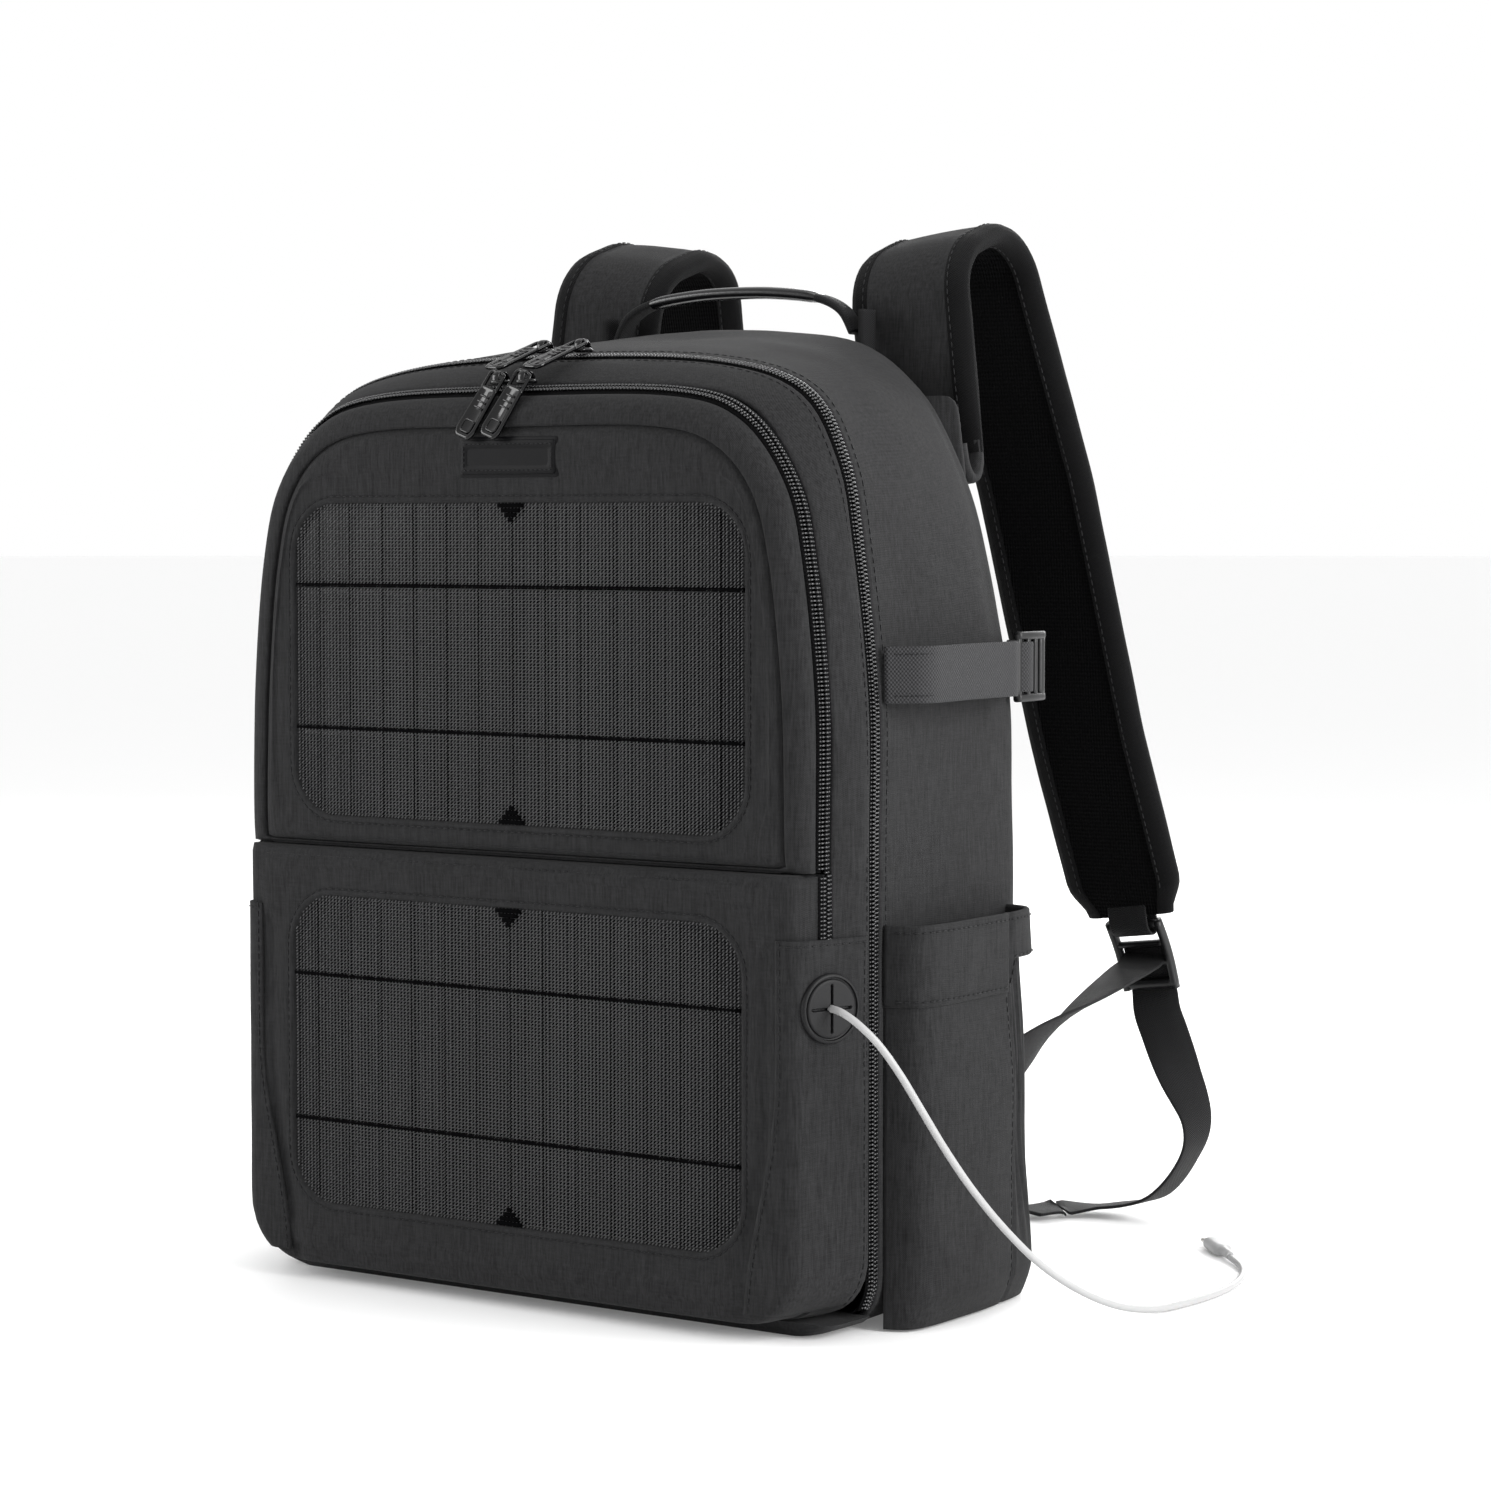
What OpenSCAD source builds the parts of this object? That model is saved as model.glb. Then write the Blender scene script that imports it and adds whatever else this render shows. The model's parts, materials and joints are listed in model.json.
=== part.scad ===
// Solar backpack: clamshell camera pack with two solar windows, a zipped front
// flap, side pockets, padded shoulder straps and a charging lead.
// Units are millimetres. The origin is the centre of the base, the front faces -Y.

/* [Bag] */
// Width of the bag
body_w = 344; // [300:2:380]
// Height of the top edge at the back
rear_h = 467; // [440:1:500]
// Height of the top edge at the main zip
zip_h = 449; // [430:1:460]
// Height of the top edge at the front zip
front_zip_h = 433; // [425:1:440]
// Distance from the origin to the back panel
rear_y = 85; // [75:1:100]
// Thickness of the padded walls
wall = 5; // [4:0.5:8]

/* [Front section] */
// Distance of the front face ahead of the origin
front_y = 102; // [98:1:110]
// Distance of the main zip ahead of the origin
zip_y = 54; // [50:1:60]
// Distance of the front zip ahead of the origin
front_zip_y = 85; // [80:1:88]
// Height of the seam between the two front panels
seam_z = 213; // [200:1:225]
// Height of the lower edge of the opening front
door_z = 8; // [6:0.5:10]
// Width of each solar window
window_w = 262; // [220:2:280]
// Height of each solar window
window_h = 151; // [130:1:156]
// Width of the blank label
label_w = 58; // [40:1:80]

/* [Side pockets] */
// Height of the pocket mouth
pocket_h = 187; // [150:1:220]
// How far a pocket stands off the side
pocket_d = 24; // [15:1:35]
// Width of the side webbing
side_web_w = 26; // [20:1:30]
// Height of the lower edge of the side webbing
side_web_z = 288; // [260:1:310]

/* [Shoulder straps] */
// Width of a shoulder strap
strap_w = 68; // [55:1:80]
// Thickness of a shoulder strap
strap_t = 12; // [8:1:16]
// Outward lean of a shoulder strap in degrees
strap_lean = 7; // [0:1:10]
// Distance between the centre of the bag and a strap at its highest point
strap_x = 88; // [70:1:95]
// Width of the adjusting webbing
web_w = 25; // [20:1:30]

/* [Zip sliders] */
// Length of a pull tab
pull_l = 34; // [25:1:40]
// Width of a pull tab
pull_w = 12; // [8:1:14]

/* [Charging lead] */
// Diameter of the lead
lead_d = 3.4; // [3:0.1:5]
// Diameter of the rubber port in the corner tab
port_d = 32; // [26:1:36]

/* [Hidden] */

fabric = [0.16, 0.16, 0.17];
binding = [0.06, 0.06, 0.06];
plastic = [0.09, 0.09, 0.1];
big = 800;
half_w = body_w / 2;
zip_gap = 0.4;
tape_w = 4;
panel_y = front_y - 3;
shell_y = zip_y - tape_w;
corner_x = 158;
port_z = 153;
side_front_y = 66;
strap_top_z = 517;
web_t = 1.8;

// Unit vector along v
function unit(v) = v / norm(v);

// A plane vector turned by an angle
function spin(p, a) = [p.x * cos(a) - p.y * sin(a), p.x * sin(a) + p.y * cos(a)];

// Arc that rounds the corner b between its neighbours a and c
function arc_at(a, b, c, r, n = 6) =
    let (u = unit(a - b), v = unit(c - b), half = acos(u * v) / 2,
         centre = b + unit(u + v) * r / sin(half),
         start = b + u * r / tan(half) - centre,
         turn = (180 - 2 * half) * sign(cross(-u, v)))
    [for (i = [0:n]) centre + spin(start, turn * i / n)];

// Closed outline through [x, y, radius] corners
function rounded(c) =
    let (m = len(c))
    [for (i = [0:m - 1])
        let (a = c[(i + m - 1) % m], b = c[i], d = c[(i + 1) % m])
        each (b[2] > 0 ? arc_at([a.x, a.y], [b.x, b.y], [d.x, d.y], b[2]) : [[b.x, b.y]])];

// Open path through [x, y, radius] corners
function path(c) =
    let (m = len(c))
    [for (i = [0:m - 1])
        each (b_round(c, i, m)
            ? arc_at([c[i - 1].x, c[i - 1].y], [c[i].x, c[i].y], [c[i + 1].x, c[i + 1].y], c[i][2])
            : [[c[i].x, c[i].y]])];
function b_round(c, i, m) = i > 0 && i < m - 1 && c[i][2] > 0;

// Points beside a path at a sideways distance
function beside(p, d) =
    let (m = len(p))
    [for (i = [0:m - 1])
        let (t = unit(p[min(i + 1, m - 1)] - p[max(i - 1, 0)]))
        p[i] + d * [-t.y, t.x]];
function reversed(p) = [for (i = [len(p) - 1:-1:0]) p[i]];

// Smooth curve through hand-chosen 3-D points
function smooth(p, n) =
    let (m = len(p))
    [for (i = [0:m - 2]) for (k = [0:n - 1])
        let (s = k / n, a = p[max(i - 1, 0)], b = p[i], c = p[i + 1], d = p[min(i + 2, m - 1)])
        0.5 * (2 * b + (c - a) * s + (2 * a - 5 * b + 4 * c - d) * s * s
            + (3 * b - a - 3 * c + d) * s * s * s), p[m - 1]];

// Mirrors children to the left side when side is -1
module on_side(side) {
    mirror([side < 0 ? 1 : 0, 0, 0]) children();
}

// Drawing in the YZ plane extruded along X, centred
module across(w) {
    rotate([90, 0, 90]) linear_extrude(w, center = true) children();
}

// Drawing in the XZ plane extruded from -Y a to -Y b
module ahead(from_y, to_y) {
    translate([0, to_y, 0]) rotate([90, 0, 0]) linear_extrude(to_y - from_y) children();
}

// Strip of a given thickness along a flat path
module strip(p, t) {
    polygon(concat(beside(p, t / 2), reversed(beside(p, -t / 2))));
}

// Front view of the bag up to a top height, drawn smaller by an inset
module front_outline(i, top) {
    polygon(rounded([
        [-half_w + i, i, 24], [half_w - i, i, 24], [half_w - i, 285, 150],
        [half_w - 15 - i, top - i, 80 - i], [-half_w + 15 + i, top - i, 80 - i],
        [-half_w + i, 285, 150]]));
}

// Top view of the bag, drawn smaller by an inset
module plan_outline(i) {
    polygon(rounded([
        [-half_w + i, -side_front_y, 12], [-corner_x + i, -front_y + i, 12],
        [corner_x - i, -front_y + i, 12], [half_w - i, -side_front_y, 12],
        [half_w - i, rear_y - i, 18], [-half_w + i, rear_y - i, 18]]));
}

// Side view of the bag, drawn smaller by an inset
module side_outline(i) {
    polygon(rounded([
        [-front_y + i, i, 6], [rear_y - i, i, 24], [rear_y - i, rear_h - i, 16],
        [-zip_y, zip_h - i, 10], [-front_zip_y, front_zip_h - i, 10],
        [-front_y + i, front_zip_h - 16 - i, 12]]));
}

// Solid of the bag between two depths and up to a top height, drawn smaller by an inset
module body_slice(i, from_y, to_y, top = rear_h) {
    intersection() {
        ahead(from_y, to_y) front_outline(i, top);
        linear_extrude(big) plan_outline(i);
        across(big) side_outline(i);
    }
}

// Wall of the bag between two depths and two insets
module wall_ring(outer, inner, from_y, to_y, top) {
    difference() {
        body_slice(outer, from_y, to_y, top);
        body_slice(inner, from_y - 1, to_y + 1, top);
    }
}

// Keeps what lies between two heights
module between(z0, z1) {
    intersection() {
        children();
        translate([-big / 2, -big / 2, z0]) cube([big, big, z1 - z0]);
    }
}

// ---- main body ----

module main_shell() {
    color(fabric) difference() {
        body_slice(0, -shell_y, rear_y);
        body_slice(wall, -shell_y - 1, rear_y - wall);
    }
}

module base_sill() {
    color(fabric) between(0, door_z - zip_gap) body_slice(0, -80, -shell_y);
}

module base_board() {
    color(plastic) translate([-138, -45, wall]) cube([276, 98, 2]);
}

module frame_sheet() {
    color(plastic) translate([-135, rear_y - wall - 2, 30]) cube([270, 2, 350]);
}

module laptop_sleeve() {
    color(fabric) difference() {
        translate([-135, rear_y - wall - 24, 30]) cube([270, 22, 270]);
        translate([-132, rear_y - wall - 21, 34]) cube([264, 15, 300]);
    }
}

module back_pad(side) {
    color(binding) translate([side * 66, rear_y + 6, 240]) rotate([90, 0, 0])
        linear_extrude(12, center = true)
            polygon(rounded([[-42, -135, 20], [42, -135, 20], [42, 135, 20], [-42, 135, 20]]));
}
module back_pad_right() { back_pad(1); }
module back_pad_left() { back_pad(-1); }

module lumbar_pad() {
    color(binding) translate([0, rear_y + 7, 65]) rotate([90, 0, 0])
        linear_extrude(14, center = true)
            polygon(rounded([[-120, -32, 20], [120, -32, 20], [120, 32, 20], [-120, 32, 20]]));
}

module strap_yoke() {
    color(fabric) translate([0, rear_y + 4, 410]) rotate([90, 0, 0])
        linear_extrude(8, center = true)
            polygon(rounded([[-138, -26, 8], [138, -26, 8], [132, 22, 8], [-132, 22, 8]]));
}

module main_zip_shell_tape() {
    color(binding) between(door_z, big)
        wall_ring(1.5, wall, -zip_y + zip_gap / 2, -shell_y, zip_h + 2);
}

// Top view of a side pocket, drawn smaller by an inset
module pocket_plan(i) {
    polygon(rounded([
        [half_w + i, -shell_y + 4 + i, 0], [half_w + pocket_d - 4 - i, -36 + i, 14],
        [half_w + pocket_d - i, 56 - i, 16], [half_w + i, 66 - i, 0]]));
}

module side_pocket(side) {
    color(fabric) on_side(side) difference() {
        translate([0, 0, 1]) linear_extrude(pocket_h - 1) pocket_plan(0);
        translate([0, 0, 4]) linear_extrude(pocket_h) pocket_plan(3);
    }
}
module side_pocket_right() { side_pocket(1); }
module side_pocket_left() { side_pocket(-1); }

module side_webbing(side) {
    color([0.3, 0.3, 0.3]) on_side(side) translate([0, 0, side_web_z])
        linear_extrude(side_web_w)
            strip(path([[half_w + 1, -44, 0], [half_w + 18, -34, 12],
                [half_w + 18, 46, 14], [half_w + 1, 66, 0]]), web_t);
}
module side_webbing_right() { side_webbing(1); }
module side_webbing_left() { side_webbing(-1); }

// Ladder lock for webbing of a given width: lies in the YZ plane, bars along Z
module ladder(w, l, t) {
    rotate([90, 0, 90]) linear_extrude(t, center = true) difference() {
        polygon(rounded([[0, -w / 2 - 4, 4], [l, -w / 2 - 4, 4],
            [l, w / 2 + 4, 4], [0, w / 2 + 4, 4]]));
        for (y = [0.14, 0.42, 0.7]) translate([l * y, -w / 2]) square([l * 0.16, w]);
    }
}

module side_buckle(side) {
    color(plastic) on_side(side)
        translate([half_w + 4, rear_y - 16, side_web_z + side_web_w / 2]) ladder(side_web_w, 26, 5);
}
module side_buckle_right() { side_buckle(1); }
module side_buckle_left() { side_buckle(-1); }

module webbing_anchor(side) {
    color(fabric) on_side(side) translate([half_w - 26, rear_y, 96]) rotate([90, 0, 90])
        linear_extrude(6)
            polygon([[0, -26], [24, -13], [24, 13], [0, 26]]);
}
module webbing_anchor_right() { webbing_anchor(1); }
module webbing_anchor_left() { webbing_anchor(-1); }

module handle_anchor(side) {
    color(fabric) on_side(side) translate([76, rear_y, 440]) cube([4, 13, 36]);
}
module handle_anchor_right() { handle_anchor(1); }
module handle_anchor_left() { handle_anchor(-1); }

module carry_handle() {
    color(plastic) translate([0, rear_y + 7, 0]) rotate([90, 0, 0])
        linear_extrude(12, center = true)
            strip(path([[-72, 463, 0], [-66, 486, 12], [66, 486, 12], [72, 463, 0]]), 5);
}

// ---- opening front ----

module door_band() {
    color(fabric) {
        between(door_z, big)
            difference() {
                wall_ring(0, 4, -front_zip_y + tape_w, -zip_y - tape_w, zip_h);
                port_place() cylinder(d = 8, h = 60, center = true, $fn = 48);
            }
        between(door_z, door_z + 3) body_slice(4, -front_zip_y + tape_w, -zip_y - 8);
    }
}

module door_divider() {
    color(fabric) between(door_z, big) body_slice(4, -zip_y - 8, -zip_y - 6, zip_h);
}

module main_zip_door_tape() {
    color(binding) between(door_z, big)
        wall_ring(1.5, wall, -zip_y - tape_w, -zip_y - zip_gap / 2, zip_h + 2);
}

module front_zip_door_tape() {
    color(binding) between(seam_z, big)
        wall_ring(1.5, wall, -front_zip_y - zip_gap / 2, -front_zip_y + tape_w, front_zip_h + 3);
}

module front_zip_flap_tape() {
    color(binding) between(seam_z + 0.8, big)
        wall_ring(1.5, wall, -front_zip_y - tape_w, -front_zip_y - zip_gap, front_zip_h + 3);
}

// Rounded window drawing in the XZ plane
module window_shape(z, grow) {
    w = window_w / 2 + grow;
    h = window_h / 2 + grow;
    r = 25 + grow;
    translate([0, z]) polygon(rounded([[-w, -h, r], [w, -h, r], [w, h, r], [-w, h, r]]));
}

lower_window_z = 114.5;
upper_window_z = 304;

// Hollow tray of a front panel between two heights, with its window recess
module front_tray(face_y, back_y, z0, z1, hollow_z, window_z) {
    difference() {
        between(z0, z1) body_slice(0, -face_y, -back_y, front_zip_h);
        between(hollow_z, z1 + 1) body_slice(4, -face_y + 4, -back_y + 1, front_zip_h);
        ahead(-face_y - 1, -face_y + 2.4) window_shape(window_z, 0);
    }
}

module lower_panel() {
    color(fabric) difference() {
        front_tray(front_y, front_zip_y - tape_w, door_z, seam_z, door_z + 3, lower_window_z);
        port_place() cylinder(d = 8, h = 60, center = true, $fn = 48);
    }
}

module flap_panel() {
    color(fabric)
        front_tray(panel_y, front_zip_y + tape_w, seam_z + 0.8, big, seam_z, upper_window_z);
}

module solar_cell(face_y, z) {
    color([0.05, 0.05, 0.08]) ahead(-face_y + 1.2, -face_y + 2.4) window_shape(z, 0);
}
module lower_solar_cell() { solar_cell(front_y, lower_window_z); }
module upper_solar_cell() { solar_cell(panel_y, upper_window_z); }

module window_mesh(face_y, z) {
    color([0.12, 0.12, 0.12]) ahead(-face_y + 0.4, -face_y + 1.2) window_shape(z, 0);
}
module lower_window_mesh() { window_mesh(front_y, lower_window_z); }
module upper_window_mesh() { window_mesh(panel_y, upper_window_z); }

module window_binding(face_y, z) {
    color(binding) ahead(-face_y - 0.6, -face_y) difference() {
        window_shape(z, 3);
        window_shape(z, 0);
    }
}
module lower_window_binding() { window_binding(front_y, lower_window_z); }
module upper_window_binding() { window_binding(panel_y, upper_window_z); }

module label_patch() {
    color(plastic) translate([-label_w / 2, -panel_y - 1.6, 391]) cube([label_w, 1.6, 19]);
}

// Places a child on the slanting corner of the front section, its +Z outwards
corner_turn = atan2(half_w - corner_x, front_y - side_front_y);
module port_place() {
    translate([(half_w + corner_x) / 2, -(front_y + side_front_y) / 2, port_z])
        rotate([0, 0, -corner_turn]) rotate([0, 90, 0]) children();
}

module corner_tab(side) {
    color(fabric) on_side(side) translate([(half_w + corner_x) / 2, -(front_y + side_front_y) / 2, 0])
        rotate([0, 0, -corner_turn]) difference() {
            translate([0, -15, 12]) cube([1.6, 30, 172]);
            if (side > 0) translate([0, 0, port_z]) rotate([0, 90, 0])
                cylinder(d = 8, h = 20, center = true, $fn = 48);
        }
}
module corner_tab_right() { corner_tab(1); }
module corner_tab_left() { corner_tab(-1); }

module cable_port() {
    color(binding) port_place() difference() {
        union() {
            translate([0, 0, 1.6]) cylinder(d = port_d, h = 2.6, $fn = 64);
            translate([0, 0, -6]) cylinder(d = 7.8, h = 8, $fn = 48);
        }
        cylinder(d = lead_d, h = 40, center = true, $fn = 32);
        for (a = [0, 90]) rotate([0, 0, a]) translate([-11, -0.4, 3.2]) cube([22, 0.8, 4]);
    }
}

module charge_controller() {
    color(plastic) port_place()
        translate([-28, -10, -29]) difference() {
            cube([56, 20, 12]);
            translate([28, 10, 6]) cylinder(d = 7, h = 10, $fn = 32);
        }
}

module inner_lead() {
    color("white") port_place() {
        translate([0, 0, -23]) cylinder(d = 6.8, h = 12, $fn = 32);
        translate([0, 0, -11]) cylinder(d = lead_d, h = 15.2, $fn = 32);
    }
}

// ---- zip sliders and pull tabs ----

// Slider body with its back at the given depth and its foot at the given height
module slider(x, y, z) {
    color(plastic) translate([x - 4, y, z]) difference() {
        cube([8, 11, 6]);
        translate([-1, 1, 2]) cube([10, 3, 2.4]);
    }
}
main_slider_y = -zip_y - 6;
main_slider_z = zip_h + 1.4;
front_slider_y = -front_zip_y - 10;
front_slider_z = front_zip_h + 1.6;
module main_slider_right() { slider(10, main_slider_y, main_slider_z); }
module main_slider_left() { slider(-12, main_slider_y, main_slider_z); }
module front_slider_right() { slider(3, front_slider_y, front_slider_z); }
module front_slider_left() { slider(-12, front_slider_y, front_slider_z); }

// Pull tab hanging forward from the bridge of a slider at a given tilt
module pull(x, slider_y, slider_z, tilt) {
    color(plastic) translate([x, slider_y + 3, slider_z + 4.5]) rotate([tilt, 0, 0]) difference() {
        translate([-pull_w / 2, -pull_l, -1]) cube([pull_w, pull_l + 2, 2]);
        translate([0, -pull_l + 6, 0]) cylinder(d = 6, h = 5, center = true, $fn = 32);
        translate([-4.6, -6.2, -2]) cube([9.2, 12, 4]);
    }
}
module main_pull_right() { pull(10, main_slider_y, main_slider_z, 22); }
module main_pull_left() { pull(-12, main_slider_y, main_slider_z, 22); }
module front_pull_right() { pull(3, front_slider_y, front_slider_z, 66); }
module front_pull_left() { pull(-12, front_slider_y, front_slider_z, 66); }

// ---- shoulder straps ----

STRAP_ROUTE = [
    [107, 400, 0], [110, 499, 30], [173, 519, 30], [218, 390, 120], [246, 255, 160], [276, 158, 0]];

// Places a strap piece: drawn upright at x = 0 and leant outwards about its top
module strap_place(side) {
    on_side(side) translate([strap_x, 0, strap_top_z]) rotate([0, -strap_lean, 0])
        translate([0, 0, -strap_top_z]) children();
}

module shoulder_strap(side) {
    color(fabric) strap_place(side) across(strap_w) strip(path(STRAP_ROUTE), strap_t);
}
module shoulder_strap_right() { shoulder_strap(1); }
module shoulder_strap_left() { shoulder_strap(-1); }

module ladder_lock(side) {
    color(plastic) strap_place(side) translate([0, 277, 154]) rotate([-70, 0, 0])
        rotate([0, 90, 0]) ladder(web_w, 42, 7);
}
module ladder_lock_right() { ladder_lock(1); }
module ladder_lock_left() { ladder_lock(-1); }

module strap_ring(side) {
    color(plastic) strap_place(side) translate([18, 252, 276]) rotate([-78, 0, 0])
        rotate_extrude($fn = 48) translate([8, 0]) circle(d = 3, $fn = 24);
}
module strap_ring_right() { strap_ring(1); }
module strap_ring_left() { strap_ring(-1); }

// Centre points and width directions of the free webbing tail
TAIL = [
    [[138, 290, 110], [1, 0.3, 0]], [[150, 280, 98], [1, 0.6, 0.3]], [[163, 270, 80], [0.7, 1, 0.4]],
    [[175, 268, 55], [0.2, 1, 0]], [[172, 266, 35], [0, 1, 0]], [[155, 262, 12], [0.1, 1, 0]],
    [[125, 258, 3], [0.3, 1, 0]], [[105, 245, 2.5], [0.8, 0.8, 0]], [[96, 226, 2.5], [1, 0.3, 0]]];

// Flat band along centre points, w across and t thick
module band(centres, widths, w, t) {
    m = len(centres);
    c = smooth(centres, 3);
    d = smooth(widths, 3);
    n = len(c);
    rings = [for (i = [0:n - 1])
        let (tangent = unit(c[min(i + 1, n - 1)] - c[max(i - 1, 0)]),
             side = unit(d[i] - tangent * (d[i] * tangent)),
             up = cross(tangent, side))
        for (k = [[1, 1], [-1, 1], [-1, -1], [1, -1]])
            c[i] + side * k.x * w / 2 + up * k.y * t / 2];
    polyhedron(rings, concat(
        [[3, 2, 1, 0]],
        [for (i = [0:n - 2]) for (k = [0:3])
            let (a = 4 * i + k, b = 4 * i + (k + 1) % 4)
            each [[a, b, b + 4], [a, b + 4, a + 4]]],
        [[for (k = [0:3]) 4 * (n - 1) + k]]));
}

module strap_webbing(side) {
    color(binding) on_side(side) {
        band([for (p = TAIL) p[0]], [for (p = TAIL) p[1]], web_w, web_t);
        band([[134, 276, 132], [142, 200, 120], [147, 111.5, 97.5]],
            [[1, 0.2, 0], [0.8, 0.2, 0.4], [0, 0, 1]], web_w, web_t);
    }
}
module strap_webbing_right() { strap_webbing(1); }
module strap_webbing_left() { strap_webbing(-1); }

// ---- charging lead ----

LEAD = [
    [169, -85.5, 153], [176, -88, 152], [185, -88, 147], [193, -84, 138], [200, -78, 125], [206, -70, 109],
    [212, -60, 91], [219, -47, 71], [227, -31, 51], [236, -12, 32], [245, 10, 17], [253, 33, 7],
    [260, 56, 2.5], [265, 80, 2], [267, 104, 2], [265, 128, 2], [259, 150, 2], [249, 169, 2], [236, 184, 2.4]];

// Round tube swept along a route
module tube(route, d, n, sides) {
    c = smooth(route, n);
    m = len(c);
    rings = [for (i = [0:m - 1])
        let (t = unit(c[min(i + 1, m - 1)] - c[max(i - 1, 0)]),
             s = unit(cross(t, [0.2, 0.1, 1])), u = cross(s, t))
        for (k = [0:sides - 1])
            c[i] + d / 2 * (s * cos(360 * k / sides) + u * sin(360 * k / sides))];
    polyhedron(rings, concat(
        [[for (k = [sides - 1:-1:0]) k]],
        [for (i = [0:m - 2]) for (k = [0:sides - 1])
            let (a = sides * i + k, b = sides * i + (k + 1) % sides)
            each [[a, b, b + sides], [a, b + sides, a + sides]]],
        [[for (k = [0:sides - 1]) sides * (m - 1) + k]]));
}

module charge_cable() {
    color("white") tube(LEAD, lead_d, 3, 8);
}

module charge_plug() {
    color("white") translate([236, 184, 3.4]) rotate([0, 0, 132]) rotate([90, 0, 90]) {
        cylinder(d = 5, h = 12, $fn = 48);
        translate([0, 0, 12]) linear_extrude(22)
            polygon(rounded([[-5, -3.2, 3], [5, -3.2, 3], [5, 3.2, 3], [-5, 3.2, 3]]));
        translate([0, 0, 34]) linear_extrude(7)
            polygon(rounded([[-4, -1.2, 1.1], [4, -1.2, 1.1], [4, 1.2, 1.1], [-4, 1.2, 1.1]]));
    }
}

main_shell();
base_sill();
base_board();
frame_sheet();
laptop_sleeve();
back_pad_right();
back_pad_left();
lumbar_pad();
strap_yoke();
main_zip_shell_tape();
side_pocket_right();
side_pocket_left();
side_webbing_right();
side_webbing_left();
side_buckle_right();
side_buckle_left();
webbing_anchor_right();
webbing_anchor_left();
handle_anchor_right();
handle_anchor_left();
carry_handle();
door_band();
door_divider();
lower_panel();
lower_solar_cell();
lower_window_mesh();
lower_window_binding();
main_zip_door_tape();
front_zip_door_tape();
corner_tab_right();
corner_tab_left();
cable_port();
charge_controller();
inner_lead();
flap_panel();
upper_solar_cell();
upper_window_mesh();
upper_window_binding();
label_patch();
front_zip_flap_tape();
main_slider_right();
main_slider_left();
front_slider_right();
front_slider_left();
main_pull_right();
main_pull_left();
front_pull_right();
front_pull_left();
shoulder_strap_right();
shoulder_strap_left();
ladder_lock_right();
ladder_lock_left();
strap_ring_right();
strap_ring_left();
strap_webbing_right();
strap_webbing_left();
charge_cable();
charge_plug();
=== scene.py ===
"""Solar backpack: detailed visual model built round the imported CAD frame."""
import json
import math
import random

import bmesh
import bpy
import numpy as np
from mathutils import Euler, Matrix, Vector, noise

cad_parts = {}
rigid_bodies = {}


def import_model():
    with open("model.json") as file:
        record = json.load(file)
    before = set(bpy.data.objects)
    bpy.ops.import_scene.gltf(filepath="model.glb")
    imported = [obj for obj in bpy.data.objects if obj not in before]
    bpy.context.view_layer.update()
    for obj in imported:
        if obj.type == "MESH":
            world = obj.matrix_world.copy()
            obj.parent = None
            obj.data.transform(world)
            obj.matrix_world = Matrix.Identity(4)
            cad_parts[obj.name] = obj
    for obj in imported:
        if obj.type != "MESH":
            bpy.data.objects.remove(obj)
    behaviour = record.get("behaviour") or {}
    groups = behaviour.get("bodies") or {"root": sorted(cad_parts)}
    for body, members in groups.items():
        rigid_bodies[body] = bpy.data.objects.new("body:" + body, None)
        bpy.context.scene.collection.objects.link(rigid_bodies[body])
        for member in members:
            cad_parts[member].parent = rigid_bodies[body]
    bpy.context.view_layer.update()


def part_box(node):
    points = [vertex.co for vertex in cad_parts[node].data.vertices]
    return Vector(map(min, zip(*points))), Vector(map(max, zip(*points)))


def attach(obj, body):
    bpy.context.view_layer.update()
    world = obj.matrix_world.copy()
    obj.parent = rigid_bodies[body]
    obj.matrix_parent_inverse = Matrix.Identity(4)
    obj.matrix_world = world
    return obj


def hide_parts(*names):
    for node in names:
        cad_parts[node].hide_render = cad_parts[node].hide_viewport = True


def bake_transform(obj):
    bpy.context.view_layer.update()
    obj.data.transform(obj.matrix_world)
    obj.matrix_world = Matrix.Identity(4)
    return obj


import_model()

MM = 0.001
MIDDLE_Z = 225
RNG = random.Random(7)
SIDES = (("right", 1), ("left", -1))


def mm_box(node):
    """Lowest and highest corner of a CAD node, in millimetres."""
    lo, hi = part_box(node)
    return np.array(lo) / MM, np.array(hi) / MM


# ---------------------------------------------------------------- camera, lights, floor

scene = bpy.context.scene
camera_data = bpy.data.cameras.new("camera")
camera_data.lens = 87.6
camera_data.sensor_width = 36
camera = bpy.data.objects.new("camera", camera_data)
camera.location = (1.0238, -1.4523, 0.3696)
camera.rotation_euler = Euler([math.radians(a) for a in (86.5, 0, 33.4)])
scene.collection.objects.link(camera)
scene.camera = camera
scene.view_settings.view_transform = "Standard"

world = bpy.data.worlds.new("studio")
world.use_nodes = True
sky = world.node_tree
backdrop = sky.nodes["Background"]
backdrop.inputs["Color"].default_value = (1, 1, 1, 1)
direction = sky.nodes.new("ShaderNodeTexCoord")
split = sky.nodes.new("ShaderNodeSeparateXYZ")
fade = sky.nodes.new("ShaderNodeMapRange")
for key, number in (("From Min", 0.3), ("From Max", 0.9), ("To Min", 1.0), ("To Max", 0.85)):
    fade.inputs[key].default_value = number
sky.links.new(direction.outputs["Generated"], split.inputs["Vector"])
sky.links.new(split.outputs["Z"], fade.inputs["Value"])
sky.links.new(fade.outputs["Result"], backdrop.inputs["Strength"])
scene.world = world


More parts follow.
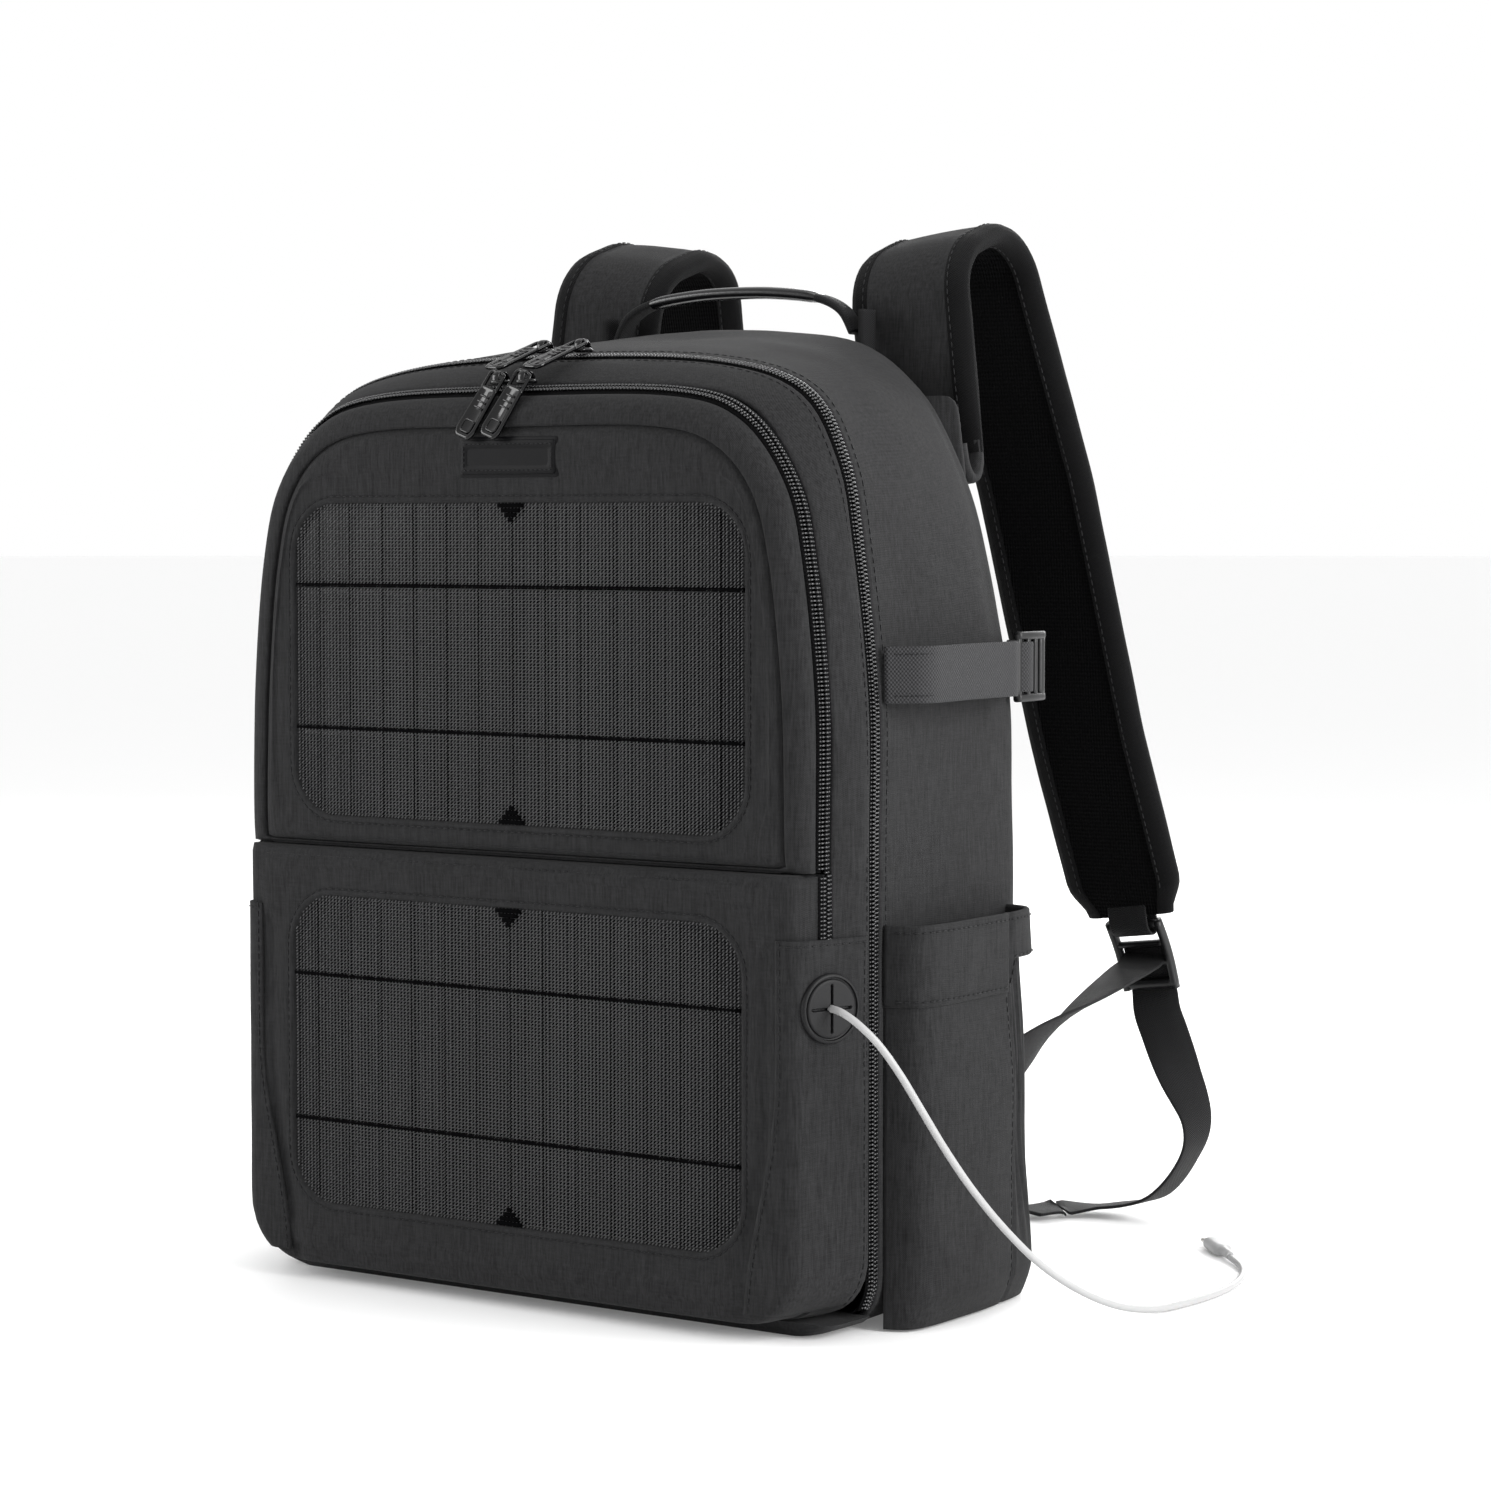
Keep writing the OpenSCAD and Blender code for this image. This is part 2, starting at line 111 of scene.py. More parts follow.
def area_light(name, place, target, size, power):
    """Soft rectangular light aimed at a point."""
    data = bpy.data.lights.new(name, "AREA")
    data.shape = "RECTANGLE"
    data.size, data.size_y = size
    data.energy = power
    lamp = bpy.data.objects.new(name, data)
    lamp.location = place
    aim = Vector(target) - Vector(place)
    lamp.rotation_euler = aim.to_track_quat("-Z", "Y").to_euler()
    scene.collection.objects.link(lamp)


area_light("key", (-1.15, -0.95, 0.75), (-0.12, -0.1, 0.3), (0.6, 0.9), 12)
area_light("side", (2.0, 0.15, 0.9), (0.15, 0, 0.2), (1.0, 1.4), 52)
area_light("top", (0.1, 0.3, 2.3), (0, 0, 0.3), (1.4, 1.2), 12)
area_light("back", (-0.4, 2.2, 1.1), (0, 0, 0.3), (1.6, 1.2), 26)


# ---------------------------------------------------------------- materials

HOLE_PITCH = 3.2
CELL_LINE_PITCH = 2.4


class Graph:
    """Short names for the nodes of one material."""

    def __init__(self, name, colour, roughness, sheen=0.0, sheen_rough=0.5, coat=0.0, metallic=0.0,
                 specular=0.5):
        self.mat = bpy.data.materials.new(name)
        self.mat.use_nodes = True
        self.tree = self.mat.node_tree
        self.shader = self.tree.nodes["Principled BSDF"]
        self.colour = colour
        self.roughness = roughness
        self.set("Base Color", (*colour, 1))
        self.set("Roughness", roughness)
        self.set("Sheen Weight", sheen)
        self.set("Sheen Roughness", sheen_rough)
        self.set("Coat Weight", coat)
        self.set("Coat Roughness", 0.15)
        self.set("Metallic", metallic)
        self.set("Specular IOR Level", specular)
        self.mat.diffuse_color = (*colour, 1)

    def set(self, socket, value):
        self.shader.inputs[socket].default_value = value

    def node(self, kind, **values):
        made = self.tree.nodes.new(kind)
        for key, value in values.items():
            setattr(made, key, value)
        return made

    def link(self, source, target):
        self.tree.links.new(source, target)

    def place(self, scale, attribute=None):
        """Object position, or a stored point attribute, scaled on each axis."""
        if attribute:
            source = self.node("ShaderNodeAttribute", attribute_name=attribute).outputs["Vector"]
        else:
            source = self.node("ShaderNodeTexCoord").outputs["Object"]
        scaled = self.node("ShaderNodeMapping")
        scaled.inputs["Scale"].default_value = scale
        self.link(source, scaled.inputs["Vector"])
        return scaled.outputs["Vector"]

    def noise(self, scale, detail=3.0, rough=0.55, attribute=None):
        """Soft noise with its frequency on each axis, per metre or per unit of the attribute."""
        made = self.node("ShaderNodeTexNoise")
        made.inputs["Scale"].default_value = 1.0
        made.inputs["Detail"].default_value = detail
        made.inputs["Roughness"].default_value = rough
        self.link(self.place(scale, attribute), made.inputs["Vector"])
        return made.outputs["Fac"]

    def calc(self, operation, a, b=None):
        """One sum on numbers or sockets."""
        made = self.node("ShaderNodeMath", operation=operation)
        for k, value in enumerate((a, b)):
            if value is None:
                continue
            if isinstance(value, (int, float)):
                made.inputs[k].default_value = value
            else:
                self.link(value, made.inputs[k])
        return made.outputs[0]

    def spread(self, value, low, high, from_low=0.0, from_high=1.0):
        """A value's range mapped to another, clamped."""
        made = self.node("ShaderNodeMapRange")
        self.link(value, made.inputs["Value"])
        for key, number in (("From Min", from_low), ("From Max", from_high), ("To Min", low),
                            ("To Max", high)):
            made.inputs[key].default_value = number
        return made.outputs["Result"]

    def waves(self, along, across, attribute=None):
        """Product of two sines: an over-and-under weave. along and across are direction scales."""
        source = self.place((1, 1, 1), attribute)
        parts = []
        for direction in (along, across):
            dot = self.node("ShaderNodeVectorMath", operation="DOT_PRODUCT")
            self.link(source, dot.inputs[0])
            dot.inputs[1].default_value = direction
            parts.append(self.calc("SINE", dot.outputs["Value"]))
        return self.calc("MULTIPLY", *parts)

    def tint(self, amount):
        """Base colour multiplied by a varying amount."""
        made = self.node("ShaderNodeMix", data_type="RGBA", blend_type="MULTIPLY")
        made.inputs["Factor"].default_value = 1.0
        made.inputs["A"].default_value = (*self.colour, 1)
        shade = self.node("ShaderNodeCombineColor")
        for channel in ("Red", "Green", "Blue"):
            self.link(amount, shade.inputs[channel])
        self.link(shade.outputs["Color"], made.inputs["B"])
        self.link(made.outputs["Result"], self.shader.inputs["Base Color"])

    def rough(self, value, low, high):
        """Roughness that varies with a value between two limits."""
        self.link(self.spread(value, low, high), self.shader.inputs["Roughness"])

    def bump(self, height, strength, distance):
        """Small relief from a height, with its depth in metres."""
        made = self.node("ShaderNodeBump")
        made.inputs["Strength"].default_value = strength
        made.inputs["Distance"].default_value = distance
        self.link(height, made.inputs["Height"])
        self.link(made.outputs["Normal"], self.shader.inputs["Normal"])


def fabric(name, colour, contrast=0.55, pitch=0.9, sheen=0.03, roughness=0.85):
    """Heather polyester: slubs along the warp and weft over a fine plain weave, whose crossings are
    also painted into the colour as slight shade and highlight.
    """
    g = Graph(name, colour, roughness, sheen=sheen, sheen_rough=0.45, specular=0.12)
    warp = g.noise((900, 900, 75), 4, 0.75)
    weft = g.noise((130, 130, 1100), 4, 0.7)
    cloud = g.noise((14, 14, 14), 3)
    turn = 2 * math.pi / (pitch * MM)
    weave = g.waves((turn, turn, 0), (0, -turn, turn))
    shade = g.calc("ADD", g.spread(warp, -contrast, contrast, 0.25, 0.75),
                   g.spread(weft, -contrast * 0.38, contrast * 0.38, 0.25, 0.75))
    shade = g.calc("ADD", shade, g.spread(cloud, 0.92, 1.08, 0.3, 0.7))
    # Painted shade and highlight: the weave's crossings lighten the colour a little and the gaps
    # between them darken it.
    shade = g.calc("ADD", shade, g.calc("MULTIPLY", weave, 0.1))
    g.tint(g.calc("MAXIMUM", shade, 0.25))
    g.rough(cloud, roughness - 0.06, roughness + 0.08)
    height = g.calc("ADD", g.calc("MULTIPLY", weave, 0.5), g.calc("ADD", warp, weft))
    g.bump(height, 0.35, 0.0003)
    return g.mat


def ribbed(name, colour, rib=2.0, cross=0.9, roughness=0.7, sheen=0.02, specular=0.12, depth=0.24):
    """Woven tape: ribs across and fine picks along, from the stored along/across position. The colour
    is lighter on the rib crowns and darker between them: painted highlight and shade.
    """
    g = Graph(name, colour, roughness, sheen=sheen, specular=specular)
    turn = 2 * math.pi
    weave = g.waves((turn / cross, 0, 0), (0, turn / rib, 0), "lay")
    fuzz = g.noise((1.1, 1.1, 1.1), 3, 0.6, "lay")
    cloud = g.noise((60, 60, 60), 2)
    # depth sets the painted shade between the ribs and the painted highlight on their crowns, on top
    # of the bump.
    shade = g.calc("ADD", g.spread(weave, 0.96 - depth, 0.96 + depth, -1, 1),
                   g.spread(fuzz, -0.25, 0.25, 0.25, 0.75))
    g.tint(g.calc("MAXIMUM", shade, 0.2))
    g.rough(cloud, roughness - 0.08, roughness + 0.08)
    g.bump(g.calc("ADD", weave, g.calc("MULTIPLY", fuzz, 0.6)), 0.6, 0.00035)
    return g.mat


def spacer_mesh(name, colour):
    """Black air-mesh padding: small holes in slanting rows, painted darker in colour as shade inside
    each hole and lighter on the mesh between.
    """
    g = Graph(name, colour, 0.8, sheen=0.0, specular=0.04)
    turn = 2 * math.pi / (HOLE_PITCH * MM)
    holes = g.waves((turn, turn * 0.2, turn * 0.75), (-turn, -turn * 0.2, turn * 0.75))
    fuzz = g.noise((900, 900, 900), 3)
    # Painted shade in the holes and painted highlight between them: the colour runs from 0.35 to 1.45
    # times the base.
    shade = g.calc("ADD", g.spread(holes, 0.35, 1.45, -0.8, 0.8), g.spread(fuzz, -0.2, 0.2))
    g.tint(g.calc("MAXIMUM", shade, 0.12))
    g.rough(fuzz, 0.72, 0.92)
    g.bump(g.calc("ADD", holes, g.calc("MULTIPLY", fuzz, 0.4)), 0.8, 0.0008)
    return g.mat


def plastic(name, colour, roughness=0.35, grain=900, depth=0.15, coat=0.0, metallic=0.0,
            specular=0.5, wear=0.12):
    """Moulded or enamelled surface with a fine grain and slight handling wear."""
    g = Graph(name, colour, roughness, coat=coat, metallic=metallic, specular=specular)
    fine = g.noise((grain, grain, grain), 3)
    cloud = g.noise((90, 90, 90), 3)
    g.tint(g.spread(cloud, 1 - wear, 1 + wear, 0.3, 0.7))
    g.rough(cloud, max(0.03, roughness - 0.08), roughness + 0.1)
    g.bump(fine, depth, 0.0002)
    return g.mat


def solar_film(name):
    """Dark blue-black cell film with thin grid lines."""
    g = Graph(name, (0.0022, 0.0024, 0.0034), 0.35, coat=0.04, specular=0.06)
    turn = 2 * math.pi / (CELL_LINE_PITCH * MM)
    source = g.place((1, 1, 1))
    dot = g.node("ShaderNodeVectorMath", operation="DOT_PRODUCT")
    g.link(source, dot.inputs[0])
    dot.inputs[1].default_value = (0, 0, turn)
    line = g.calc("SINE", dot.outputs["Value"])
    cloud = g.noise((30, 30, 30), 3)
    shade = g.calc("ADD", g.spread(line, 0.8, 1.5, 0.9, 1.0), g.spread(cloud, -0.2, 0.2, 0.3, 0.7))
    g.tint(shade)
    g.rough(cloud, 0.15, 0.35)
    g.bump(line, 0.1, 0.0001)
    return g.mat


CHARCOAL = (0.0165, 0.0165, 0.0171)
# The scene's materials, by short name
MATS = {
    "fabric": fabric("charcoal_fabric", CHARCOAL),
    "binding": ribbed("black_binding", (0.0035, 0.0035, 0.0038), rib=1.6, cross=0.8, specular=0.08),
    "tape": ribbed("zip_tape", (0.0035, 0.0035, 0.0038), rib=1.2, cross=0.8, sheen=0.0,
                   specular=0.06),
    "air_mesh": spacer_mesh("air_mesh", (0.0022, 0.0022, 0.0024)),
    "lining": fabric("lining", (0.012, 0.012, 0.014), 0.25, 0.7, 0.02, 0.7),
    "thread": plastic("window_thread", (0.078, 0.078, 0.08), 0.36, 2000, 0.1, specular=0.45,
                      wear=0.0),
    "film": solar_film("solar_film"),
    "cell_rib": plastic("cell_rib", (0.0012, 0.0012, 0.0014), 0.85, specular=0.02),
    # Strong painted rib shade and highlight on the grey webbing.
    "grey_web": ribbed("grey_webbing", (0.034, 0.034, 0.0355), rib=2.0, cross=1.7, roughness=0.75,
                       depth=0.45),
    "black_web": ribbed("black_webbing", (0.007, 0.007, 0.0075), rib=2.2, cross=1.1, roughness=0.6),
    "teeth": plastic("zip_teeth", (0.02, 0.02, 0.021), 0.22, 1500, 0.05, specular=0.7),
    "enamel": plastic("black_enamel", (0.0015, 0.0015, 0.0018), 0.14, 500, 0.04, coat=0.1,
                      specular=0.3, wear=0.03),
    "plastic": plastic("black_plastic", (0.006, 0.006, 0.0065), 0.38, specular=0.35),
    "grip": plastic("handle_grip", (0.003, 0.003, 0.0035), 0.22, 350, 0.4, coat=0.15, specular=0.35),
    "rubber": plastic("port_rubber", (0.006, 0.006, 0.0065), 0.5, 1200, 0.2, specular=0.2),
    "board": plastic("stiffener", (0.02, 0.02, 0.021), 0.55),
    "white": plastic("white_cable", (0.36, 0.36, 0.36), 0.34, 700, 0.04, specular=0.3, wear=0.02),
    "metal": plastic("plug_metal", (0.62, 0.6, 0.56), 0.25, 900, 0.05, metallic=1.0),
    "stitch": ribbed("stitch_thread", (0.018, 0.018, 0.019), rib=0.6, cross=0.6, roughness=0.55),
    "label": plastic("label_rubber", (0.0025, 0.0025, 0.003), 0.45, 1500, 0.2, specular=0.1),
}


# ---------------------------------------------------------------- floor

def make_floor():
    """Wide pale floor that meets the bright surroundings far behind the bag."""
    radius, sides = 40.0, 96
    verts = [(0, 0, 0)] + [(radius * math.cos(a), radius * math.sin(a), 0)
                           for a in np.linspace(0, 2 * math.pi, sides, endpoint=False)]
    faces = [(0, 1 + k, 1 + (k + 1) % sides) for k in range(sides)]
    mesh = bpy.data.meshes.new("floor")
    mesh.from_pydata(verts, [], faces)
    floor = bpy.data.objects.new("floor", mesh)
    scene.collection.objects.link(floor)
    g = Graph("floor_paper", (0.88, 0.88, 0.88), 0.5, specular=0.2)
    cloud = g.noise((3, 3, 3), 2)
    g.tint(g.spread(cloud, 0.99, 1.01))
    g.rough(cloud, 0.42, 0.5)
    g.set("Emission Color", (1, 1, 1, 1))
    g.set("Emission Strength", 0.12)
    mesh.materials.append(g.mat)


make_floor()


# ---------------------------------------------------------------- mesh building

def piece(name, verts, faces, mat, body, replaces=(), lay=None, thick=0.0, face_mats=None,
          sharp=None):
    """One visual piece from points in millimetres, riding on a CAD body if one is given.

    thick grows the faces into a wall, inwards, or outwards if it is negative. Edges turning
    by more than sharp degrees stay hard.
    """
    mats = [mat] if isinstance(mat, str) else list(mat)
    mesh = bpy.data.meshes.new(name)
    mesh.from_pydata([tuple(float(c) * MM for c in v) for v in verts], [],
                     [tuple(int(i) for i in f) for f in faces])
    if face_mats is not None:
        mesh.polygons.foreach_set("material_index", [int(m) for m in face_mats])
    if lay is not None:
        data = mesh.attributes.new("lay", "FLOAT_VECTOR", "POINT")
        data.data.foreach_set("vector", np.asarray(lay, np.float32).ravel())
    for m in mats:
        mesh.materials.append(MATS[m])
    tidy = bmesh.new()
    tidy.from_mesh(mesh)
    bmesh.ops.recalc_face_normals(tidy, faces=tidy.faces)
    tidy.to_mesh(mesh)
    tidy.free()
    made = bpy.data.objects.new(name, mesh)
    scene.collection.objects.link(made)
    for face in mesh.polygons:
        face.use_smooth = True
    if thick:
        solid = made.modifiers.new("thickness", "SOLIDIFY")
        solid.thickness = abs(thick) * MM
        solid.offset = -1 if thick > 0 else 1
    if sharp is not None:
        made.modifiers.new("edges", "EDGE_SPLIT").split_angle = math.radians(sharp)
    if replaces:
        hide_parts(*([replaces] if isinstance(replaces, str) else replaces))
    if body:
        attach(made, body)
    return made


def apply_all(made):
    """Turns an object's modifiers into its mesh."""
    bpy.context.view_layer.update()
    ready = made.evaluated_get(bpy.context.evaluated_depsgraph_get())
    mesh = bpy.data.meshes.new_from_object(ready)
    made.modifiers.clear()
    made.data = mesh


def catmull(points, steps, closed=False):
    """Smooth curve through points."""
    p = np.asarray(points, float)
    m = len(p)
    out = []
    spans = m if closed else m - 1
    for i in range(spans):
        if closed:
            a, b, c, d = (p[(i + k) % m] for k in (-1, 0, 1, 2))
        else:
            a, b, c, d = p[max(i - 1, 0)], p[i], p[i + 1], p[min(i + 2, m - 1)]
        for k in range(steps):
            s = k / steps
            out.append(0.5 * (2 * b + (c - a) * s + (2 * a - 5 * b + 4 * c - d) * s * s
                              + (3 * b - a - 3 * c + d) * s ** 3))
    if not closed:
        out.append(p[-1])
    return np.array(out)


def resample(points, count, closed=False):
    """Points spaced evenly along a polyline."""
    p = np.asarray(points, float)
    if closed:
        p = np.vstack([p, p[:1]])
    gaps = np.linalg.norm(np.diff(p, axis=0), axis=1)
    run = np.concatenate([[0], np.cumsum(gaps)])
    at = np.linspace(0, run[-1], count + 1)[:-1] if closed else np.linspace(0, run[-1], count)
    return np.stack([np.interp(at, run, p[:, k]) for k in range(p.shape[1])], axis=1)


def run_length(points):
    """Distance along a polyline at each of its points."""
    return np.concatenate([[0], np.cumsum(np.linalg.norm(np.diff(points, axis=0), axis=1))])


def rounded(corners, steps=7, closed=True):
    """Polyline through (x, y, radius) corners."""
    m = len(corners)
    out = []
    for i, (x, y, r) in enumerate(corners):
        if r <= 0 or (not closed and i in (0, m - 1)):
            out.append((x, y))
            continue
        b = np.array((x, y), float)
        u = np.array(corners[i - 1][:2], float) - b
        v = np.array(corners[(i + 1) % m][:2], float) - b
        u, v = u / np.linalg.norm(u), v / np.linalg.norm(v)
        half = math.acos(max(-1, min(1, float(u @ v)))) / 2
        if half > math.radians(89.5):
            out.append((x, y))
            continue
        mid = (u + v) / np.linalg.norm(u + v)
        centre = b + mid * r / math.sin(half)
        start = b + u * r / math.tan(half) - centre
        sense = 1 if (-u[0] * v[1] + u[1] * v[0]) > 0 else -1
        turn = (math.pi - 2 * half) * sense
        for k in range(steps + 1):
            c, s = math.cos(turn * k / steps), math.sin(turn * k / steps)
            out.append((centre[0] + start[0] * c - start[1] * s,
                        centre[1] + start[0] * s + start[1] * c))
    return np.array(out)


def beside(curve, distance, closed=True):
    """Curve moved sideways: towards the left of its direction."""
    p = np.asarray(curve, float)
    if closed:
        t = np.roll(p, -1, axis=0) - np.roll(p, 1, axis=0)
    else:
        t = np.gradient(p, axis=0)
    t /= np.maximum(np.linalg.norm(t, axis=1, keepdims=True), 1e-9)
    return p + distance * np.stack([-t[:, 1], t[:, 0]], axis=1)


def grid_faces(rows, columns, wrap=False):
    """Quads between successive rows of points."""
    out = []
    for i in range(rows - 1):
        for k in range(columns if wrap else columns - 1):
            a, b = i * columns + k, i * columns + (k + 1) % columns
            out.append((a, b, b + columns, a + columns))
    return out


def soft(points, depth, size, weight=None, seed=0.0):
    """Small smooth dents and swells along the line from the bag's middle."""
    out = np.array(points, float)
    for k, p in enumerate(out):
        n = noise.noise(Vector((p[0] / size + seed, p[1] / size, p[2] / size)))
        w = 1.0 if weight is None else weight[k]
        away = Vector((p[0], 0, p[2] - MIDDLE_Z))
        if away.length > 1e-6:
            away.normalize()
        out[k] += np.array(away) * n * depth * w
    return out


# Pitch, length, width and height of the stitches
LONG_STITCH = (4.4, 3.0, 0.6, 0.5)
WINDOW_STITCH = (4.0, 2.7, 0.6, 0.6)
SEAM_STITCH = (4.0, 2.8, 0.6, 0.6)
TAB_STITCH = (4.2, 2.8, 0.55, 0.5)
HEM_STITCH = (4.2, 2.9, 0.6, 0.5)
DEEP_STITCH = (4.2, 2.9, 0.6, 0.6)
SHORT_STITCH = (3.4, 2.4, 0.5, 0.5)


class Bits:
    """Collects many small parts into one mesh."""

    def __init__(self):
        self.verts, self.faces, self.lay = [], [], []

    def add(self, verts, faces, lay=None):
        base = len(self.verts)
        self.verts.extend(verts)
        self.faces.extend([tuple(base + i for i in f) for f in faces])
        self.lay.extend(lay if lay is not None else [(v[0], v[2], 0) for v in verts])

    def block(self, centre, along, side, up, size, taper=0.7):
        """Small rounded block: a wide waist between two smaller ends."""
        c, a, s, u = (np.asarray(v, float) for v in (centre, along, side, up))
        l, w, h = (v / 2 for v in size)
        rings = []
        for t, k in ((-1, taper * 0.6), (-0.6, 1), (0.6, 1), (1, taper * 0.6)):
            rings += [c + a * l * t + s * w * k * x + u * h * k * y
                      for x, y in ((-1, -0.6), (-0.6, 1), (0.6, 1), (1, -0.6))]
        faces = grid_faces(4, 4, True) + [(3, 2, 1, 0), (12, 13, 14, 15)]
        self.add(rings, faces)

    def piece(self, name, mat, body, replaces=()):
        piece(name, self.verts, self.faces, mat, body, replaces, lay=self.lay)


def stitches(bits, path, normals, pitch, length, width, height):
    """Run of stitches along a 3-D path, lying on the surface that the normals leave."""
    path = np.asarray(path, float)
    run = run_length(path)
    normals = np.broadcast_to(np.asarray(normals, float), path.shape)
    for s in np.arange(pitch / 2, run[-1], pitch):
        c = np.array([np.interp(s, run, path[:, k]) for k in range(3)])
        d = np.array([np.interp(s + 0.8, run, path[:, k]) - np.interp(s - 0.8, run, path[:, k])
                      for k in range(3)])
        n = np.array([np.interp(s, run, normals[:, k]) for k in range(3)])
        if np.linalg.norm(d) < 1e-6:
            continue
        d /= np.linalg.norm(d)
        n -= d * (n @ d)
        n /= max(np.linalg.norm(n), 1e-9)
        bits.block(c + n * height * 0.2, d, np.cross(n, d), n, (length, width, height))


def swept(centres, sides, profile, taper=None):
    """Closed profile (a across, b up) swept along centres; returns points, faces and lay."""
    c = np.asarray(centres, float)
    d = np.asarray(sides, float)
    m, n = len(c), len(profile)
    t = np.gradient(c, axis=0)
    t /= np.linalg.norm(t, axis=1, keepdims=True)
    run = run_length(c)
    edge = run_length(np.vstack([profile, profile[:1]]))
    verts, lay = [], []
    for i in range(m):
        s = d[i] - t[i] * (d[i] @ t[i])
        s /= np.linalg.norm(s)
        u = np.cross(t[i], s)
        k = (1, 1) if taper is None else taper(i / (m - 1))
        for j, (a, b) in enumerate(profile):
            verts.append(c[i] + s * a * k[0] + u * b * k[1])
            lay.append((run[i], edge[j] if n > 8 else a, 0))
    faces = grid_faces(m, n, True)
    faces.append(tuple(range(n)))
    faces.append(tuple(m * n - 1 - k for k in range(n)))
    return verts, faces, lay


def flat_profile(width, thick):
    """Cross-section of a woven tape with soft edges."""
    w, h = width / 2, thick / 2
    r = min(w, h) * 0.65
    return np.array([(-w, -r), (-w + h, -h), (-w * 0.34, -h), (w * 0.34, -h), (w - h, -h), (w, -r),
                     (w, r), (w - h, h), (w * 0.34, h), (-w * 0.34, h), (-w + h, h), (-w, r)])


def round_profile(width, height, count=16, power=2.0):
    """Oval or superellipse cross-section."""
    out = []
    for k in range(count):
        a = 2 * math.pi * k / count
        c, s = math.cos(a), math.sin(a)
        e = 2 / power
        out.append((width / 2 * abs(c) ** e * np.sign(c), height / 2 * abs(s) ** e * np.sign(s)))
    return np.array(out)


# ---------------------------------------------------------------- charging lead

LEAD = [
    (169, -85.5, 153), (176, -88, 152), (185, -88, 147), (193, -84, 138), (200, -78, 125),
    (206, -70, 109), (212, -60, 91), (219, -47, 71), (227, -31, 51), (236, -12, 32),
    (245, 10, 17), (253, 33, 7), (260, 56, 2.5), (265, 80, 2), (267, 104, 2), (265, 128, 2),
    (259, 150, 2), (249, 169, 2), (236, 184, 2.4)]
LEAD_WIDTH = 3.4


def make_lead():
    """White lead from the port to its plug on the floor, with a ribbed strain relief at the plug."""
    line = catmull(LEAD, 6)
    sides = [np.cross(t, (0.2, 0.1, 1)) for t in np.gradient(line, axis=0)]
    verts, faces, _ = swept(line, sides, round_profile(LEAD_WIDTH, LEAD_WIDTH, 14))
    lead = piece("charge_lead", verts, faces, "white", None, "charge_cable")
    turn = math.radians(132)
    along = np.array((math.cos(turn), math.sin(turn), 0))
    side = np.array((-math.sin(turn), math.cos(turn), 0))
    start = np.array((236, 184, 3.4))
    up = np.array((0, 0, 1))
    stations = [(0, 3.5, 3.5), (1.5, 4.6, 4.6), (3, 4.9, 4.9), (4, 4.3, 4.3), (5, 4.9, 4.9),
                (6, 4.3, 4.3), (7, 5, 5), (11, 5, 5), (12, 6, 5.4), (13, 8.6, 6), (14.5, 9.7, 6.3),
                (20, 10, 6.4), (32, 10, 6.4), (33.4, 9.4, 6.0), (34, 8.2, 4.8)]
    rows = []
    for at, w, h in stations:
        ring = round_profile(w, h, 20, 2.6 if at > 12 else 2.0)
        rows += [start + along * at + side * a + up * b for a, b in ring]
    faces = grid_faces(len(stations), 20, True)
    faces += [tuple(range(20)), tuple(len(rows) - 1 - k for k in range(20))]
    plug = piece("lead_plug", rows, faces, "white", None, "charge_plug", sharp=50)
    tip = []
    for at, w, h in ((33.5, 8, 2.4), (40.6, 8, 2.4), (41, 7.4, 1.9)):
        tip += [start + along * at + side * a + up * b for a, b in round_profile(w, h, 20, 3.2)]
    faces = grid_faces(3, 20, True) + [tuple(range(20)), tuple(59 - k for k in range(20))]
    tongue = piece("lead_plug_tip", tip, faces, "metal", None, sharp=50)
    return lead, plug, tongue, line


lead, lead_plug, plug_tip, lead_line = make_lead()
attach(lead_plug, "main_body")
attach(plug_tip, "main_body")
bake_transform(lead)


# ---------------------------------------------------------------- bag outline

HALF = 110  # points on half an outline
BAND_CORNER = 27
TAB_CORNER = 30.0
BAG_HALF = mm_box("main_shell")[1][0]
REAR_Y = mm_box("main_shell")[1][1]
SHELL_FRONT = mm_box("main_shell")[0][1]
SEAM_Z = mm_box("lower_panel")[1][2]
DOOR_Z = mm_box("door_band")[0][2]
LOWER_FACE = mm_box("lower_panel")[0][1]
FLAP_FACE = mm_box("flap_panel")[0][1]
# The outline's right half above the pockets, as (x, z) points, at each of these depths
STATION_Y = (-100, -85, -54, 5, 55, 69)
UPPER = np.array((
    ((158, 225), (156.5, 291), (150, 353), (139, 389), (115, 412), (77, 420.5), (0, 421)),
    ((165, 225), (165, 291), (158, 353), (149, 388), (125, 419), (87, 431), (0, 433)),
    ((172, 225), (172, 290), (164, 360), (156, 400), (135, 432), (85, 446), (0, 449.5)),
    ((172, 225), (172, 290), (163, 362), (152, 402), (130, 436), (86, 454), (0, 458)),
    ((172, 225), (171, 290), (161, 355), (147, 400), (123, 437), (82, 459), (0, 464.5)),
    ((171, 225), (169, 290), (158, 352), (143, 397), (119, 436), (80, 460), (0, 466.5)),
), float)


def half_width(y):
    """Half the bag's width low down: the front corners slant in."""
    return BAG_HALF - 14 * min(1, max(0, (-66 - y) / 36))


